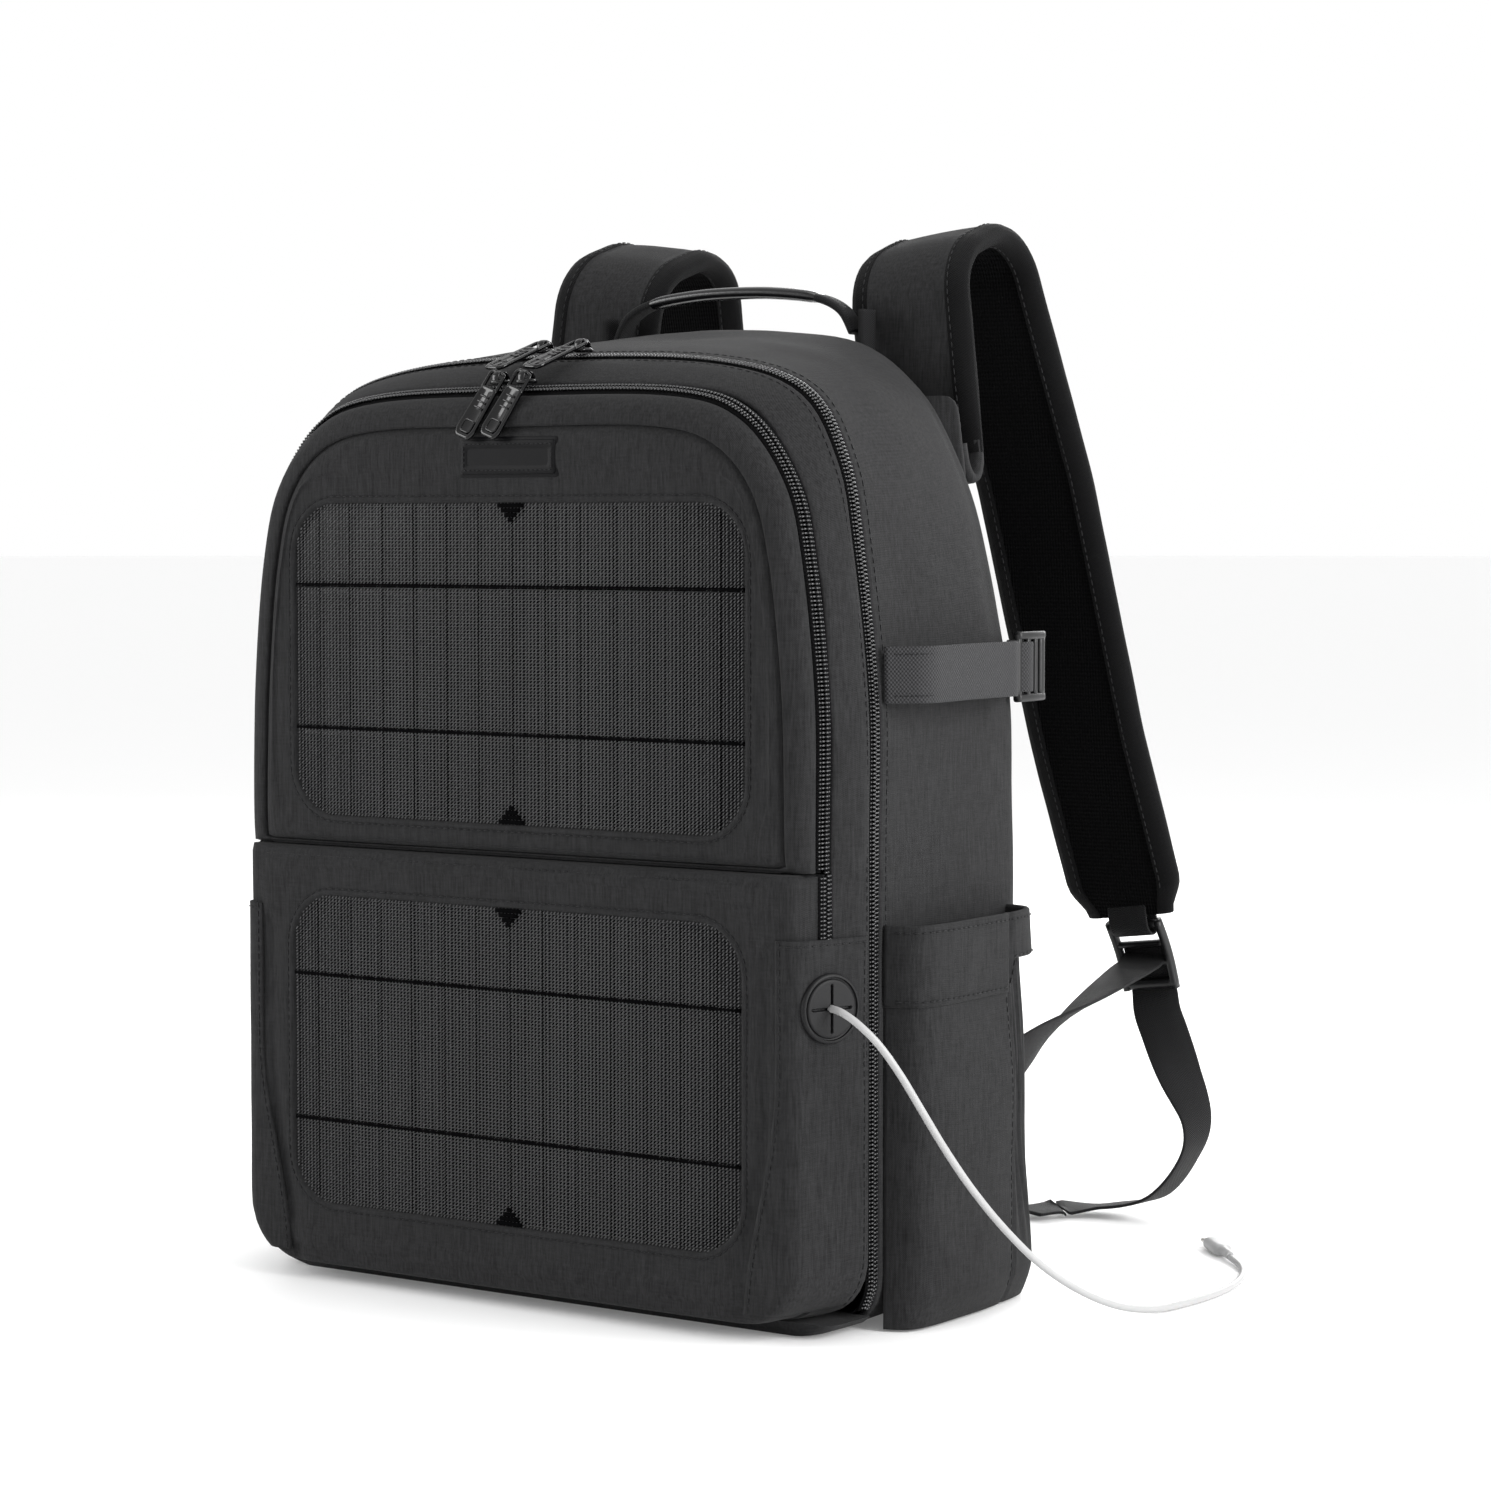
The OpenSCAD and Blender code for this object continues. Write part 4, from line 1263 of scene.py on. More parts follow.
def make_pockets():
    """Slack side pockets with a stitched seam, a folded gusset behind it and a hem on top."""
    top_plan = [(172.4, -46.5), (187, -40), (191.5, -24), (193.0, 5), (193.2, 35), (191, 53),
                (185, 63), (172.6, 67)]
    mid_plan = [(172.4, -46.5), (188, -40.5), (194, -25), (196.4, 5), (196.2, 35), (194, 54),
                (187, 64), (172.6, 67)]
    columns = 84
    for name, side in SIDES:
        top = resample(catmull(top_plan, 12), columns)
        mid = resample(catmull(mid_plan, 12), columns)
        heights = [1.2, 2.2, 4.0, 6.5, 10, 15, 21, *np.linspace(29, 150, 26), 156, 164, 172, 180]

        def row(z, out=0.0, hem=False):
            """The pocket's plan at a height, or the hem's, pushed out by a distance."""
            share = float(step(z, 90, 180))
            plan = mid * (1 - share) + top * share
            depth = 0.7 + 0.3 * math.sin(min(1, max(0, (z - 1) / 20)) * math.pi / 2)
            gusset = step(plan[:, 1], 34, 42) * (1 - step(plan[:, 1], 61, 66))
            tall = 0.0 if hem else float(step(z, 14, 90) * (1 - step(z, 165, 172)))
            fold = np.sin(plan[:, 1] * 0.78 + z * 0.035 + 1.5 * math.sin(z / 31)) * 1.9
            dent = np.array([noise.noise(Vector((y / 42, z / 46, side * 3.1))) for y in plan[:, 1]])
            ends = np.sin(np.linspace(0, math.pi, columns))
            welt = 1.5 * np.exp(-((plan[:, 1] - 33) / 1.5) ** 2)
            push = fold * gusset * tall + 1.6 * dent * ends - 6.5 * gusset * tall - welt + out
            n = np.gradient(plan, axis=0)
            n /= np.linalg.norm(n, axis=1, keepdims=True)
            moved = plan + np.stack([n[:, 1], -n[:, 0]], axis=1) * push[:, None]
            x = 172.2 + (moved[:, 0] - 172.2) * depth
            x = np.maximum(x, 172.15)
            height = np.full(columns, float(z))
            if hem and z < 181:
                height += (181 - z) * 0.5 * step(plan[:, 1], 33, 36.5)
            return np.column_stack([x * side, moved[:, 1], height])

        rows = [row(z) for z in heights]
        verts, faces = loft_rows(rows, wrap=False)
        faces.append(tuple(range(columns)))
        piece("side_pocket_fabric_" + name, verts, faces, "fabric", "main_body",
              "side_pocket_" + name, thick=1.5)
        hem = ((150, -0.6), (149.6, 0.5), (151, 1.1), (153.5, 1.25), (160, 1.4), (168, 1.5),
               (176, 1.4), (183, 1.2), (186.4, 0.9), (187.2, 0.1), (187.0, -1.4), (185.6, -2.2),
               (176, -2.4))
        verts, faces = loft_rows([row(z, out, True) for z, out in hem], wrap=False)
        piece("side_pocket_hem_" + name, verts, faces, "fabric", "main_body", thick=0.5)
        bits = Bits()
        for z, out in ((152.4, 1.45), (184, 1.4)):
            r = row(z, out, True)[3:-3]
            n = np.gradient(r, axis=0)
            n = np.stack([n[:, 1] * side, -n[:, 0] * side, np.zeros(len(n))], axis=1)
            stitches(bits, r, n, *HEM_STITCH)
        seam = [row(z)[int(np.argmin(np.abs(mid[:, 1] - 30)))] for z in heights[4:-4]]
        stitches(bits, seam, (side, 0, 0), *DEEP_STITCH)
        bits.piece("side_pocket_stitching_" + name, "stitch", "main_body")


make_pockets()


def ladder_lock(name, node, body, origin, along, across, up, width, length, thick, bow):
    """Plastic ladder lock: bowed rails and rounded cross bars."""
    bits = Bits()
    o, a, w, u = (np.asarray(v, float) for v in (origin, along, across, up))
    t = np.linspace(0, 1, 12)
    for s in (-1, 1):
        line = [o + a * length * k + w * s * (width / 2 + 1.9) + u * bow * math.sin(math.pi * k)
                for k in t]
        bits.add(*swept(line, [w] * 12, round_profile(4.1, thick * 0.86, 14, 3.0)))
    for k, size in ((0.05, 4.2), (0.35, 3.4), (0.63, 3.4), (0.93, 5.4)):
        lift = bow * math.sin(math.pi * k)
        line = [o + a * length * k + w * x + u * lift
                for x in np.linspace(-width / 2 - 2.4, width / 2 + 2.4, 8)]
        bits.add(*swept(line, [a] * 8, round_profile(size, thick * 0.74, 14, 2.4)))
    bits.piece(name, "plastic", body, node)


def make_side_webbing():
    """Grey webbing across each side, its buckle and the tail behind it."""
    for name, side in SIDES:
        lo, hi = mm_box("side_webbing_right")
        z = (lo[2] + hi[2]) / 2
        path = rounded([(172.6, -47.5, 0), (190, -36, 12), (190, 46, 14), (173.2, 66, 0)], 8,
                       closed=False)
        path = resample(path, 60)
        line = np.column_stack([path[:, 0] * side, path[:, 1],
                                z + 0.5 * np.sin(np.linspace(0, 3, 60))])
        v, f, lay = swept(line, [(0, 0, 1)] * 60, flat_profile(26, 1.7))
        piece("side_webbing_grey_" + name, v, f, "grey_web", "main_body", "side_webbing_" + name,
              lay=lay)
        bits = Bits()
        for dz in (-9.5, 9.5):
            run = line[2:12] + (0, 0, dz)
            n = np.tile((side * 0.6, -0.8, 0), (len(run), 1))
            stitches(bits, run + n * 0.9, n, 2.4, 1.7, 0.5, 0.4)
        bits.piece("side_webbing_stitching_" + name, "stitch", "main_body")
        lo, hi = mm_box("side_buckle_" + name)
        mid = (lo + hi) / 2
        ladder_lock("side_buckle_lock_" + name, "side_buckle_" + name, "side_buckle_" + name,
                    (mid[0], lo[1] + 0.5, mid[2]), (0, 1, 0), (0, 0, 1), (side, 0, 0), 26, 25,
                    4.6, 0.8)
        tail = np.array([(174.4, 62, 0), (175.0, 68, 0), (178.6, 74.5, 0), (178.4, 80, 0),
                         (174.4, 83.5, 0), (170.8, 86.4, 0), (168.5, 92, -1)], float)
        tail = catmull(tail, 5)
        tail[:, 0] *= side
        tail[:, 2] += z
        v, f, lay = swept(tail, [(0, 0, 1)] * len(tail), flat_profile(24, 1.6))
        piece("side_webbing_tail_" + name, v, f, "grey_web", "main_body", lay=lay)


make_side_webbing()


# ---------------------------------------------------------------- shoulder straps

# The strap is drawn upright in its own plane, as (depth, height, radius), then leant outwards
WEB_WIDTH = 25
WEB_THICK = 1.7
STRAP_X = 88.0
STRAP_TOP = 517.0
STRAP_LEAN = math.radians(7)
STRAP_ROUTE = [(107, 400, 0), (110, 499, 30), (173, 519, 30), (218, 390, 120), (246, 255, 160),
               (276, 158, 0)]


def strap_place(p, side, direction=False):
    """A point or direction of the upright strap drawing, leant outwards, on one side."""
    x, y, z = p
    if direction:
        return np.array(((x * math.cos(STRAP_LEAN) - z * math.sin(STRAP_LEAN)) * side, y,
                         x * math.sin(STRAP_LEAN) + z * math.cos(STRAP_LEAN)))
    z = z - STRAP_TOP
    return np.array(((STRAP_X + x * math.cos(STRAP_LEAN) - z * math.sin(STRAP_LEAN)) * side, y,
                     STRAP_TOP + x * math.sin(STRAP_LEAN) + z * math.cos(STRAP_LEAN)))


def strap_across(side):
    """Direction across a strap, from the bag's middle outwards on the right."""
    return strap_place((1, 0, 0), side, True) * side


def strap_section():
    """The padded strap's cross-section and the material of each of its edges."""
    outer = [(x, -6.1 + 0.9 * (x / 22.5) ** 2) for x in (-22.5, -18, -12, -6, 0, 6, 12, 18, 22.5)]
    edge = [(23.0, -5.75), (25.5, -5.7), (29, -5.1), (32.2, -3.4), (33.6, -1.2)]
    edge += [(x, -y) for x, y in reversed(edge)]
    inner, other = ([(-x, -y) for x, y in half] for half in (outer, edge))
    kinds = ([0] * (len(outer) - 1) + [1] * (len(edge) + 1) + [2] * (len(inner) - 1)
             + [1] * (len(other) + 1))
    return np.array(outer + edge + inner + other), kinds


def strap_taper(t):
    """Scale of the section's width and thickness: thin at the yoke, narrow at the low end."""
    w = 1 - 0.25 * float(step(t, 0.955, 1.0)) ** 1.5
    h = (1 - 0.5 * float(step(t, 0.965, 1.0))) * (0.62 + 0.38 * float(step(t, 0, 0.07)))
    return w, h


def strap_up(line, i, across):
    """Direction out of the strap's face at one point of its centre line."""
    t = np.array(line[min(i + 1, len(line) - 1)]) - np.array(line[max(i - 1, 0)])
    return np.cross(t / np.linalg.norm(t), across)


def strap_pad(name, side, line, across):
    """Padded strap: fabric outside, air mesh inside and a binding round the edges."""
    profile, kinds = strap_section()
    verts, faces, lay = swept(line, [across] * len(line), profile, strap_taper)
    verts = np.array(verts)
    n = len(profile)
    for i in range(len(line)):
        up = strap_up(line, i, across)
        for j, (a, b) in enumerate(profile):
            face = 2 if b > 0 else 0
            puff = 0.45 * noise.noise(Vector((i * 0.16, a / 16, side * 4 + face)))
            verts[i * n + j] += up * puff * (1 if b > 0 else -1)
    strap = piece("strap_pad_" + name, verts, faces, ("fabric", "binding", "air_mesh"),
                  "shoulder_strap_" + name, "shoulder_strap_" + name, lay=lay,
                  face_mats=kinds * (len(line) - 1) + [1, 1])


def strap_stitching(name, line, across):
    """A row of stitches beside each edge, on both faces."""
    bits = Bits()
    for a, b in ((24.6, -5.85), (-24.6, -5.85), (24.6, 5.85), (-24.6, 5.85)):
        path, normals = [], []
        for i in range(3, len(line) - 4):
            up = strap_up(line, i, across)
            w, h = strap_taper(i / (len(line) - 1))
            path.append(line[i] + across * a * w + up * b * h)
            normals.append(up * np.sign(b))
        stitches(bits, path, np.array(normals), *LONG_STITCH)
    bits.piece("strap_stitching_" + name, "stitch", "shoulder_strap_" + name)


def strap_end(name, side, across):
    """Webbing looped round the ladder lock's first bar, and the lock."""
    loop = [(0, 272.2, 196), (0, 276.0, 184), (0, 279.2, 172), (0, 282.0, 162), (0, 283.0, 154),
            (0, 281.0, 147.9), (0, 276.6, 147.0), (0, 272.4, 150.2), (0, 271.2, 157),
            (0, 271.4, 168)]
    loop = [strap_place(p, side) for p in catmull(loop, 5)]
    v, f, lay = swept(loop, [across] * len(loop), flat_profile(22.5, 1.3))
    piece("strap_end_webbing_" + name, v, f, "black_web", "shoulder_strap_" + name, lay=lay)
    hang = math.radians(70)
    origin = strap_place((0, 277, 154), side)
    along = strap_place((0, math.cos(hang), -math.sin(hang)), side, True)
    ladder_lock("ladder_lock_plastic_" + name, "ladder_lock_" + name, "ladder_lock_" + name,
                origin, along, across, -np.cross(along, across), WEB_WIDTH, 40, 6.4, 2.2)


def strap_root(name, side, across):
    """Fabric fold that joins the strap to the yoke."""
    root = [(0, 91.5, 404), (0, 92.5, 394), (0, 97, 387.5), (0, 102.5, 388.5), (0, 106.5, 396),
            (0, 107, 406)]
    root = [strap_place(p, side) for p in catmull(root, 6)]
    v, f, lay = swept(root, [across] * len(root), flat_profile(66, 5.0))
    piece("strap_root_" + name, v, f, "fabric", "main_body", lay=lay)


def strap_ring(name, side, across):
    """Small metal ring on the front of the strap."""
    middle = strap_place((18, 252, 276), side)
    tilt = math.radians(78)
    normal = strap_place((0, math.sin(tilt), math.cos(tilt)), side, True)
    second = np.cross(normal, across)
    radius, wire, count = 8, 1.5, 40
    rows = []
    for k in range(count):
        a = 2 * math.pi * k / count
        out = across * math.cos(a) + second * math.sin(a)
        rows.append([middle + out * (radius + wire * math.cos(b)) + normal * wire * math.sin(b)
                     for b in np.linspace(0, 2 * math.pi, 12, endpoint=False)])
    verts, faces = torus_rows(rows)
    piece("strap_ring_metal_" + name, verts, faces, "enamel", "strap_ring_" + name,
          "strap_ring_" + name)


def make_straps():
    """Both shoulder straps with all that hangs on them."""
    route = resample(rounded(STRAP_ROUTE, 12, closed=False), 130)
    for name, side in SIDES:
        line = [strap_place((0, y, z), side) for y, z in route]
        across = strap_across(side)
        strap_pad(name, side, line, across)
        strap_stitching(name, line, across)
        strap_end(name, side, across)
        strap_root(name, side, across)
        strap_ring(name, side, across)


make_straps()

# Centre line and width direction of the right side's webbings, from the lock or the anchor on
TAIL = [
    ((134.4, 285.6, 143), (1, 0, 0)), ((135.4, 290.6, 132), (1, 0.05, 0)),
    ((137.4, 292.5, 119), (1, 0.15, 0)), ((141.5, 288, 108), (1, 0.35, 0.1)),
    ((150, 280, 98), (1, 0.6, 0.3)), ((163, 270, 80), (0.7, 1, 0.4)),
    ((175, 268, 55), (0.2, 1, 0)), ((172, 266, 35), (0, 1, 0)), ((155, 262, 13), (0.1, 1, 0)),
    ((125, 258, 5), (0.3, 1, 0)), ((105, 245, 4.2), (0.8, 0.8, 0)), ((96, 226, 4.2), (1, 0.3, 0))]
BRACE = [((134.5, 288, 138), (1, 0, 0)), ((134.6, 281, 134), (1, 0.05, 0)),
         ((136.6, 262, 131), (1, 0.1, 0.05)), ((142, 200, 120), (0.8, 0.2, 0.4)),
         ((146, 140, 106), (0.3, 0.1, 0.9)), ((147.6, 108, 97.5), (0, 0, 1))]


def make_adjusters():
    """Webbing from each anchor to its ladder lock, and the loose tail that curls to the floor."""
    for name, side in SIDES:
        flip = np.array((side, 1.0, 1.0))
        for label, table, start, end in (
                ("tail", TAIL, (118, 255, 4), (138, 291, 115)),
                ("brace", BRACE, (147, 112, 98), (136, 266, 131))):
            centres = catmull([p for p, d in table], 9)
            widths = catmull([d for p, d in table], 9)
            if label == "tail":
                centres[:, 2] = np.maximum(centres[:, 2], 1.3)
            v, f, lay = swept(centres * flip, widths * flip, flat_profile(WEB_WIDTH, WEB_THICK))
            web = piece("strap_" + label + "_" + name, v, f, "black_web", None,
                        "strap_webbing_" + name, lay=lay)
            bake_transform(web)
        bits = Bits()
        end = np.array((96, 226, 3.9)) * flip
        for k in range(4):
            path = [end + np.array(((x + 0.2 * k) * side, 2.5 + 2.2 * k, 0))
                    for x in np.linspace(-10, 11, 14)]
            stitches(bits, path, (0, 0, 1), 2.0, 1.5, 0.5, 0.5)
        bits.piece("strap_tail_stitching_" + name, "stitch", "main_body")


make_adjusters()


def make_anchors():
    """Sewn wedges that hold the webbing, and the tabs that hold the handle."""
    for name, _ in SIDES:
        lo, hi = mm_box("webbing_anchor_" + name)
        mid = (lo + hi) / 2
        rows = []
        for t in np.linspace(0, 1, 9):
            y = lo[1] + 0.2 + (hi[1] - lo[1]) * t
            half = 26 - 13 * t
            swell = 3.0 - 0.9 * t
            ring = round_profile(2 * half, 2 * swell, 28, 3.2)
            rows.append([(mid[0] + b, y, mid[2] + a) for a, b in ring])
        verts = np.vstack(rows)
        faces = grid_faces(9, 28, True) + [tuple(range(28)), tuple(251 - k for k in range(28))]
        piece("webbing_anchor_fabric_" + name, verts, faces, "fabric", "main_body",
              "webbing_anchor_" + name)
        bits = Bits()
        for s in (-1, 1):
            for d in (3, 6):
                path = [(mid[0] + s * (2.95 - 0.9 * t), lo[1] + 1 + 22 * t, mid[2] + 26 - d - 13 * t)
                        for t in np.linspace(0.05, 0.95, 12)]
                stitches(bits, path, (s, 0, 0), *SHORT_STITCH)
                path = [(p[0], p[1], 2 * mid[2] - p[2]) for p in path]
                stitches(bits, path, (s, 0, 0), *SHORT_STITCH)
        bits.piece("webbing_anchor_stitching_" + name, "stitch", "main_body")
        lo, hi = mm_box("handle_anchor_" + name)
        x = (lo[0] + hi[0]) / 2
        line = [(x, 91.5, z) for z in np.linspace(lo[2] + 0.4, hi[2] - 0.4, 16)]
        v, f, lay = swept(line, [(0, 1, 0)] * 16, flat_profile(12.6, 3.6))
        piece("handle_anchor_webbing_" + name, v, f, "black_web", "main_body",
              "handle_anchor_" + name, lay=lay)


make_anchors()


# ---------------------------------------------------------------- carry handle

def make_handle():
    """Carry handle: a moulded grip on webbing, with a sleeve at each end."""
    centres = catmull([(-71.5, 92, 464.5), (-64.5, 92, 475.5), (-50, 92, 482.2), (-25, 92, 485.4),
                       (0, 92, 486.2), (25, 92, 485.4), (50, 92, 482.2), (64.5, 92, 475.5),
                       (71.5, 92, 464.5)], 10)
    m = len(centres)
    first, last = 18, m - 19
    grip = centres[first:last + 1]

    def taper(t):
        end = min(t, 1 - t)
        return 0.9 + 0.1 * math.sin(math.pi * t), (0.62 + 0.38 * float(step(end, 0, 0.1)))

    v, f, lay = swept(grip, [(0, 1, 0)] * len(grip), round_profile(12.4, 6.2, 22, 2.5), taper)
    piece("handle_grip_cover", v, f, "grip", "carry_handle", "carry_handle", lay=lay)
    for name, part in (("left", centres[:first + 3]), ("right", centres[last - 2:])):
        v, f, lay = swept(part, [(0, 1, 0)] * len(part), round_profile(11.6, 4.4, 18, 3.4))
        piece("handle_sleeve_" + name, v, f, "black_web", "carry_handle", lay=lay)
    bits = Bits()
    for y in (86.6, 97.4):
        path = grip[3:-3] + (0, y - 92, 0)
        stitches(bits, path + (0, 0, 1.2), (0, 0, 1), *SHORT_STITCH)
    bits.piece("handle_stitching", "stitch", "carry_handle")


make_handle()


# ---------------------------------------------------------------- back panel

CLOTH_FRAMES = 20


def cushion(name, node, half_x, half_z, depth, radius, base_y, centre, sim_cap):
    """Air-mesh pad: a crowned closed form swelled by a short cloth simulation."""
    edge = rounded([(half_x, -half_z, radius), (half_x, half_z, radius), (-half_x, half_z, radius),
                    (-half_x, -half_z, radius)], 8)
    edge = resample(edge, 96, closed=True)
    rows = [at_depth(edge * 0.96 + centre, base_y)]
    for inset, up in ((0.0, 0.0), (0.0, 0.28), (0.6, 0.5), (2.6, 0.78), (7, 0.95), (16, 1.0)):
        ring = edge * (1 - inset / np.array((half_x, half_z)))
        rows.append(at_depth(ring + centre, base_y + depth * up))
    verts, faces = solid_rows(rows)
    made = piece(name, verts, faces, "air_mesh", None, node)
    swell_cloth(made, sim_cap, base_y)
    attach(made, "main_body")


def swell_cloth(made, cap, base_y):
    """Remeshes a pad and lets cloth pressure swell it, held to the panel behind it."""
    bpy.context.view_layer.objects.active = made
    remesh = made.modifiers.new("remesh", "REMESH")
    remesh.mode = "VOXEL"
    remesh.voxel_size = 5 * MM
    apply_all(made)
    rest = np.array([v.co for v in made.data.vertices])
    group = made.vertex_groups.new(name="pin")
    for k, p in enumerate(rest):
        if p[1] < (base_y + 1.5) * MM:
            group.add([k], 1.0, "REPLACE")
    cloth = made.modifiers.new("cloth", "CLOTH")
    cloth.settings.quality = 5
    cloth.settings.use_pressure = True
    cloth.settings.uniform_pressure_force = 4
    cloth.settings.effector_weights.gravity = 0
    cloth.settings.vertex_group_mass = "pin"
    cloth.collision_settings.use_collision = False
    cloth.point_cache.frame_end = CLOTH_FRAMES
    for f in range(1, CLOTH_FRAMES + 1):
        scene.frame_set(f)
    apply_all(made)
    scene.frame_set(1)
    moved = np.array([v.co for v in made.data.vertices])
    shift = moved - rest
    size = np.linalg.norm(shift, axis=1, keepdims=True)
    shift *= np.minimum(1, cap * MM / np.maximum(size, 1e-9))
    made.data.vertices.foreach_set("co", (rest + shift).astype(np.float32).ravel())
    made.data.update()
    for face in made.data.polygons:
        face.use_smooth = True
    sub = made.modifiers.new("smooth", "SUBSURF")
    sub.levels = sub.render_levels = 1


def make_cushions():
    """The two back pads and the lumbar pad, each filling its CAD node's box."""
    for name, node, depth, radius in (
            ("back_pad_mesh_right", "back_pad_right", 10.5, 20),
            ("back_pad_mesh_left", "back_pad_left", 10.5, 20),
            ("lumbar_pad_mesh", "lumbar_pad", 12, 22)):
        lo, hi = mm_box(node)
        mid = (lo + hi) / 2
        cushion(name, node, (hi[0] - lo[0]) / 2 - 1, (hi[2] - lo[2]) / 2 - 1, depth, radius,
                REAR_Y + 0.2, (mid[0], mid[2]), 4)


def make_yoke():
    """Quilted panel that the straps are sewn under."""
    lo, hi = mm_box("strap_yoke")
    z0, z1 = lo[2], hi[2]
    rows = []
    for inset, y in ((0, REAR_Y + 0.2), (0, REAR_Y + 2.5), (0.8, REAR_Y + 4.4), (2.4, REAR_Y + 5.2),
                     (3.4, REAR_Y + 4.7), (4.4, REAR_Y + 5.6), (9, REAR_Y + 7.2), (15, REAR_Y + 7.9)):
        ring = rounded([(138 - inset, z0 + inset, 8), (132 - inset, z1 - inset, 8),
                        (-132 + inset, z1 - inset, 8), (-138 + inset, z0 + inset, 8)], 6)
        rows.append(at_depth(resample(ring, 160, closed=True), y))
    verts, faces = solid_rows(rows)
    piece("strap_yoke_fabric", verts, faces, "fabric", "main_body", "strap_yoke")
    bits = Bits()
    ring = rounded([(134.6, z0 + 3.4, 6), (128.6, z1 - 3.4, 6), (-128.6, z1 - 3.4, 6),
                    (-134.6, z0 + 3.4, 6)], 6)
    path = resample(ring, 300, closed=True)
    stitches(bits, at_depth(np.vstack([path, path[:1]]), REAR_Y + 4.9), (0, 1, 0), *DEEP_STITCH)
    bits.piece("strap_yoke_stitching", "stitch", "main_body")


def make_sleeve():
    """Laptop sleeve inside the main compartment: an open pouch with a wall t thick."""
    lo, hi = mm_box("laptop_sleeve")
    t = 2.6
    y0, y1 = lo[1], hi[1]
    rows = []
    for z, inset in ((lo[2], 2), (lo[2] + 1.5, 0.4), (lo[2] + 6, 0), (150, -0.6), (260, 0),
                     (hi[2] - 12, 0.2), (hi[2] - 11, -0.4), (hi[2] - 2, -0.4), (hi[2], 0.6),
                     (hi[2] - 0.6, t), (hi[2] - 12, t + 0.6), (150, t + 0.6), (lo[2] + 5, t + 0.6)):
        x, rear = 135 - inset, y1 - 0.3 - max(inset, 0)
        plan = rounded([(-x, y0 + inset, 3), (x, y0 + inset, 3), (x, rear, 3), (-x, rear, 3)], 4)
        plan = resample(plan, 140, closed=True)
        rows.append(np.column_stack([plan, np.full(140, z)]))
    verts, faces = solid_rows(rows)
    piece("laptop_sleeve_lining", verts, faces, "lining", "main_body", "laptop_sleeve")


make_cushions()
make_yoke()
make_sleeve()


# ---------------------------------------------------------------- sliders and pulls

def make_slider(name, x, y, z, side):
    """Zip slider: a shield-shaped plate with an arched bridge."""
    bits = Bits()
    rows = []
    for h, grow in ((0, -0.9), (0.5, 0), (1.6, 0), (2.3, -0.8)):
        right = [(3.6 + grow, 0.4 - grow, 2), (4.0 + grow, 7.5, 2), (2.4 + grow, 10.8 + grow, 2)]
        left = [(-u, v, r) for u, v, r in reversed(right)]
        plan = rounded(left[-1:] + right + left[:-1], 4)
        plan = resample(plan, 40, closed=True)
        rows.append(np.column_stack([plan + (x, y), np.full(40, z + h)]))
    bits.add(*solid_rows(rows))
    arch = catmull([(x, y + 1.2, z + 1.6), (x, y + 1.4, z + 4.2), (x, y + 3.4, z + 5.8),
                    (x, y + 7.0, z + 5.4), (x, y + 9.4, z + 3.4), (x, y + 9.9, z + 1.6)], 5)
    bits.add(*swept(arch, [(1, 0, 0)] * len(arch), round_profile(3.8, 1.3, 12, 3)))
    bits.piece(name + "_slider_body", "enamel", name + "_slider_" + side, name + "_slider_" + side)


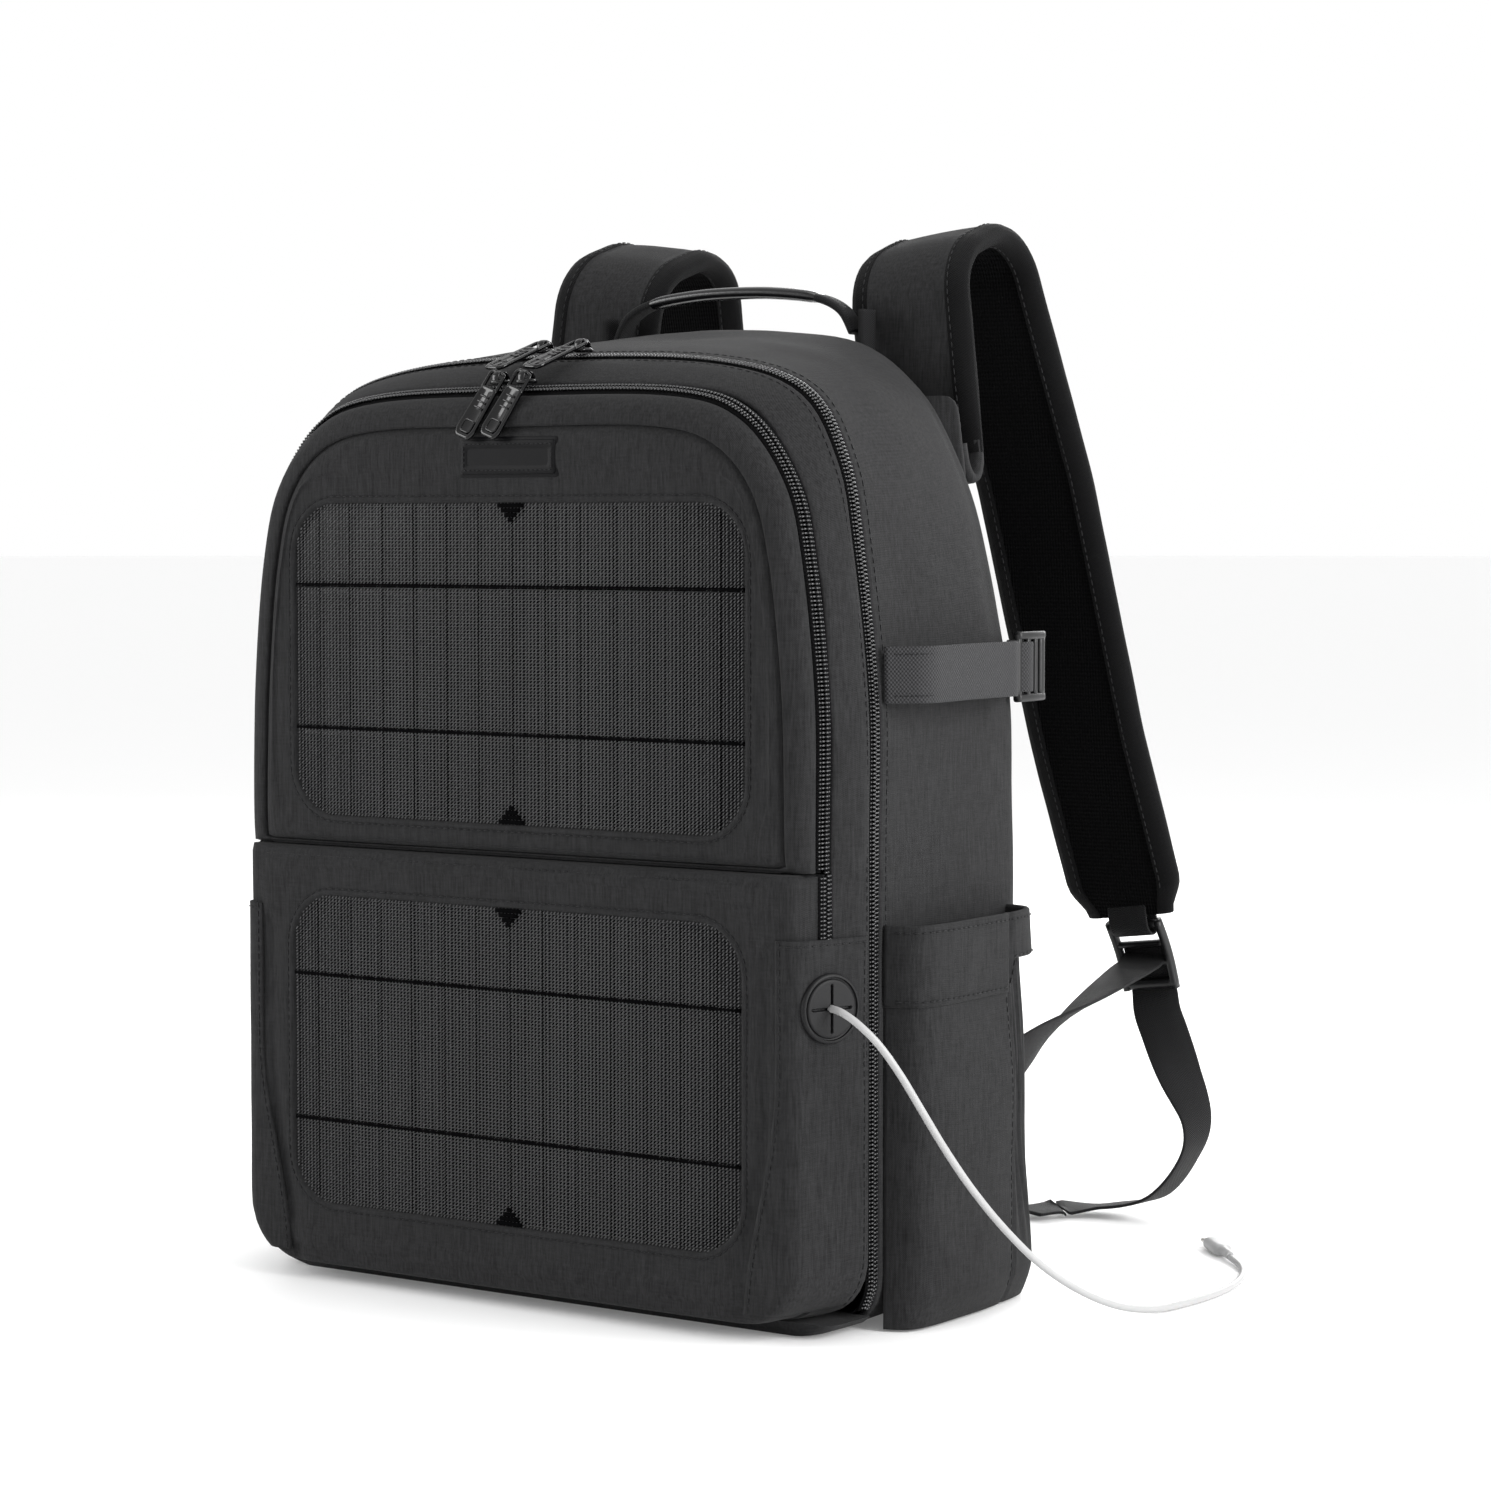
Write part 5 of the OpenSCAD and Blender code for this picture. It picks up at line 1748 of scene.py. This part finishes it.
def make_pull(name, x, y, z, tilt, lean, side):
    """Enamelled pull with ridges, hanging by a loop from its slider's bridge."""
    a = math.radians(tilt)
    pivot = np.array((x, y + 3, z + 4.5))
    along = np.array((0, -math.cos(a), -math.sin(a)))
    up = np.array((0, -math.sin(a), math.cos(a)))
    across = np.array((1.0, 0, 0))
    turn = math.radians(lean)
    along, across = (along * math.cos(turn) - across * math.sin(turn),
                     across * math.cos(turn) + along * math.sin(turn))

    def put(u, v, n):
        return pivot + across * u + along * v + up * n

    bits = Bits()
    plate = [(-5.2, 6.8, 1.2), (5.2, 6.8, 1.2), (6.0, 30.5, 2.2), (4.6, 34, 1.6), (-4.6, 34, 1.6),
             (-6.0, 30.5, 2.2)]
    rows = []
    for inset, n in ((0.55, -1.0), (0.0, -0.55), (0.0, 0.55), (0.55, 1.0), (1.5, 1.0), (1.9, 0.55)):
        middle = np.array((0, 20.4))
        ring = resample(rounded(plate, 5), 64, closed=True)
        ring = middle + (ring - middle) * (1 - inset / 6.2, 1 - inset / 13.8)
        rows.append([put(u, v, n) for u, v in ring])
    bits.add(*solid_rows(rows))
    for v in (12, 15, 18):
        bits.block(put(0, v, 0.75), across, along, up, (6.6, 1.1, 0.9), 0.8)
    ring = rounded([(-3.2, 25, 1.5), (3.2, 25, 1.5), (3.2, 31, 1.5), (-3.2, 31, 1.5)], 4)
    ring = resample(ring, 40, closed=True)
    ring = np.vstack([ring, ring[:2]])
    line = [put(u, v, 0.7) for u, v in ring]
    bits.add(*swept(line, [up] * len(line), round_profile(0.9, 0.9, 8)))
    loop = rounded([(-4.6, 8, 0), (-4.6, -1.2, 2.2), (4.6, -1.2, 2.2), (4.6, 8, 0)], 6, closed=False)
    loop = resample(loop, 36)
    line = [put(u, v, 0) for u, v in loop]
    bits.add(*swept(line, [up] * len(line), round_profile(1.9, 1.7, 10)))
    pull = name + "_pull_" + side
    bits.piece(name + "_pull_tab_" + side, "enamel", pull, pull)


def make_sliders():
    """Two sliders with pulls on each zip: their place across, the pulls' tilt and lean."""
    for name, tilt, lean, places in (("main", 22, 12, (10, -12)), ("front", 66, 20, (3, -12))):
        lo = mm_box(name + "_slider_right")[0]
        for x, side in zip(places, ("right", "left")):
            make_slider(name, x, lo[1], lo[2], side)
            make_pull(name, x, lo[1], lo[2], tilt, lean, side)


make_sliders()


# ---------------------------------------------------------------- CAD parts that stay

def finish_node(node, mat):
    """Gives a CAD part that keeps its shape a better material."""
    for o in scene.objects:
        if o.type == "MESH" and o.name == node:
            if not o.material_slots:
                o.data.materials.append(MATS[mat])
            for s in o.material_slots:
                s.material = MATS[mat]


for node, mat in (("base_board", "board"), ("frame_sheet", "board"), ("charge_controller", "plastic"),
                  ("inner_lead", "white")):
    finish_node(node, mat)
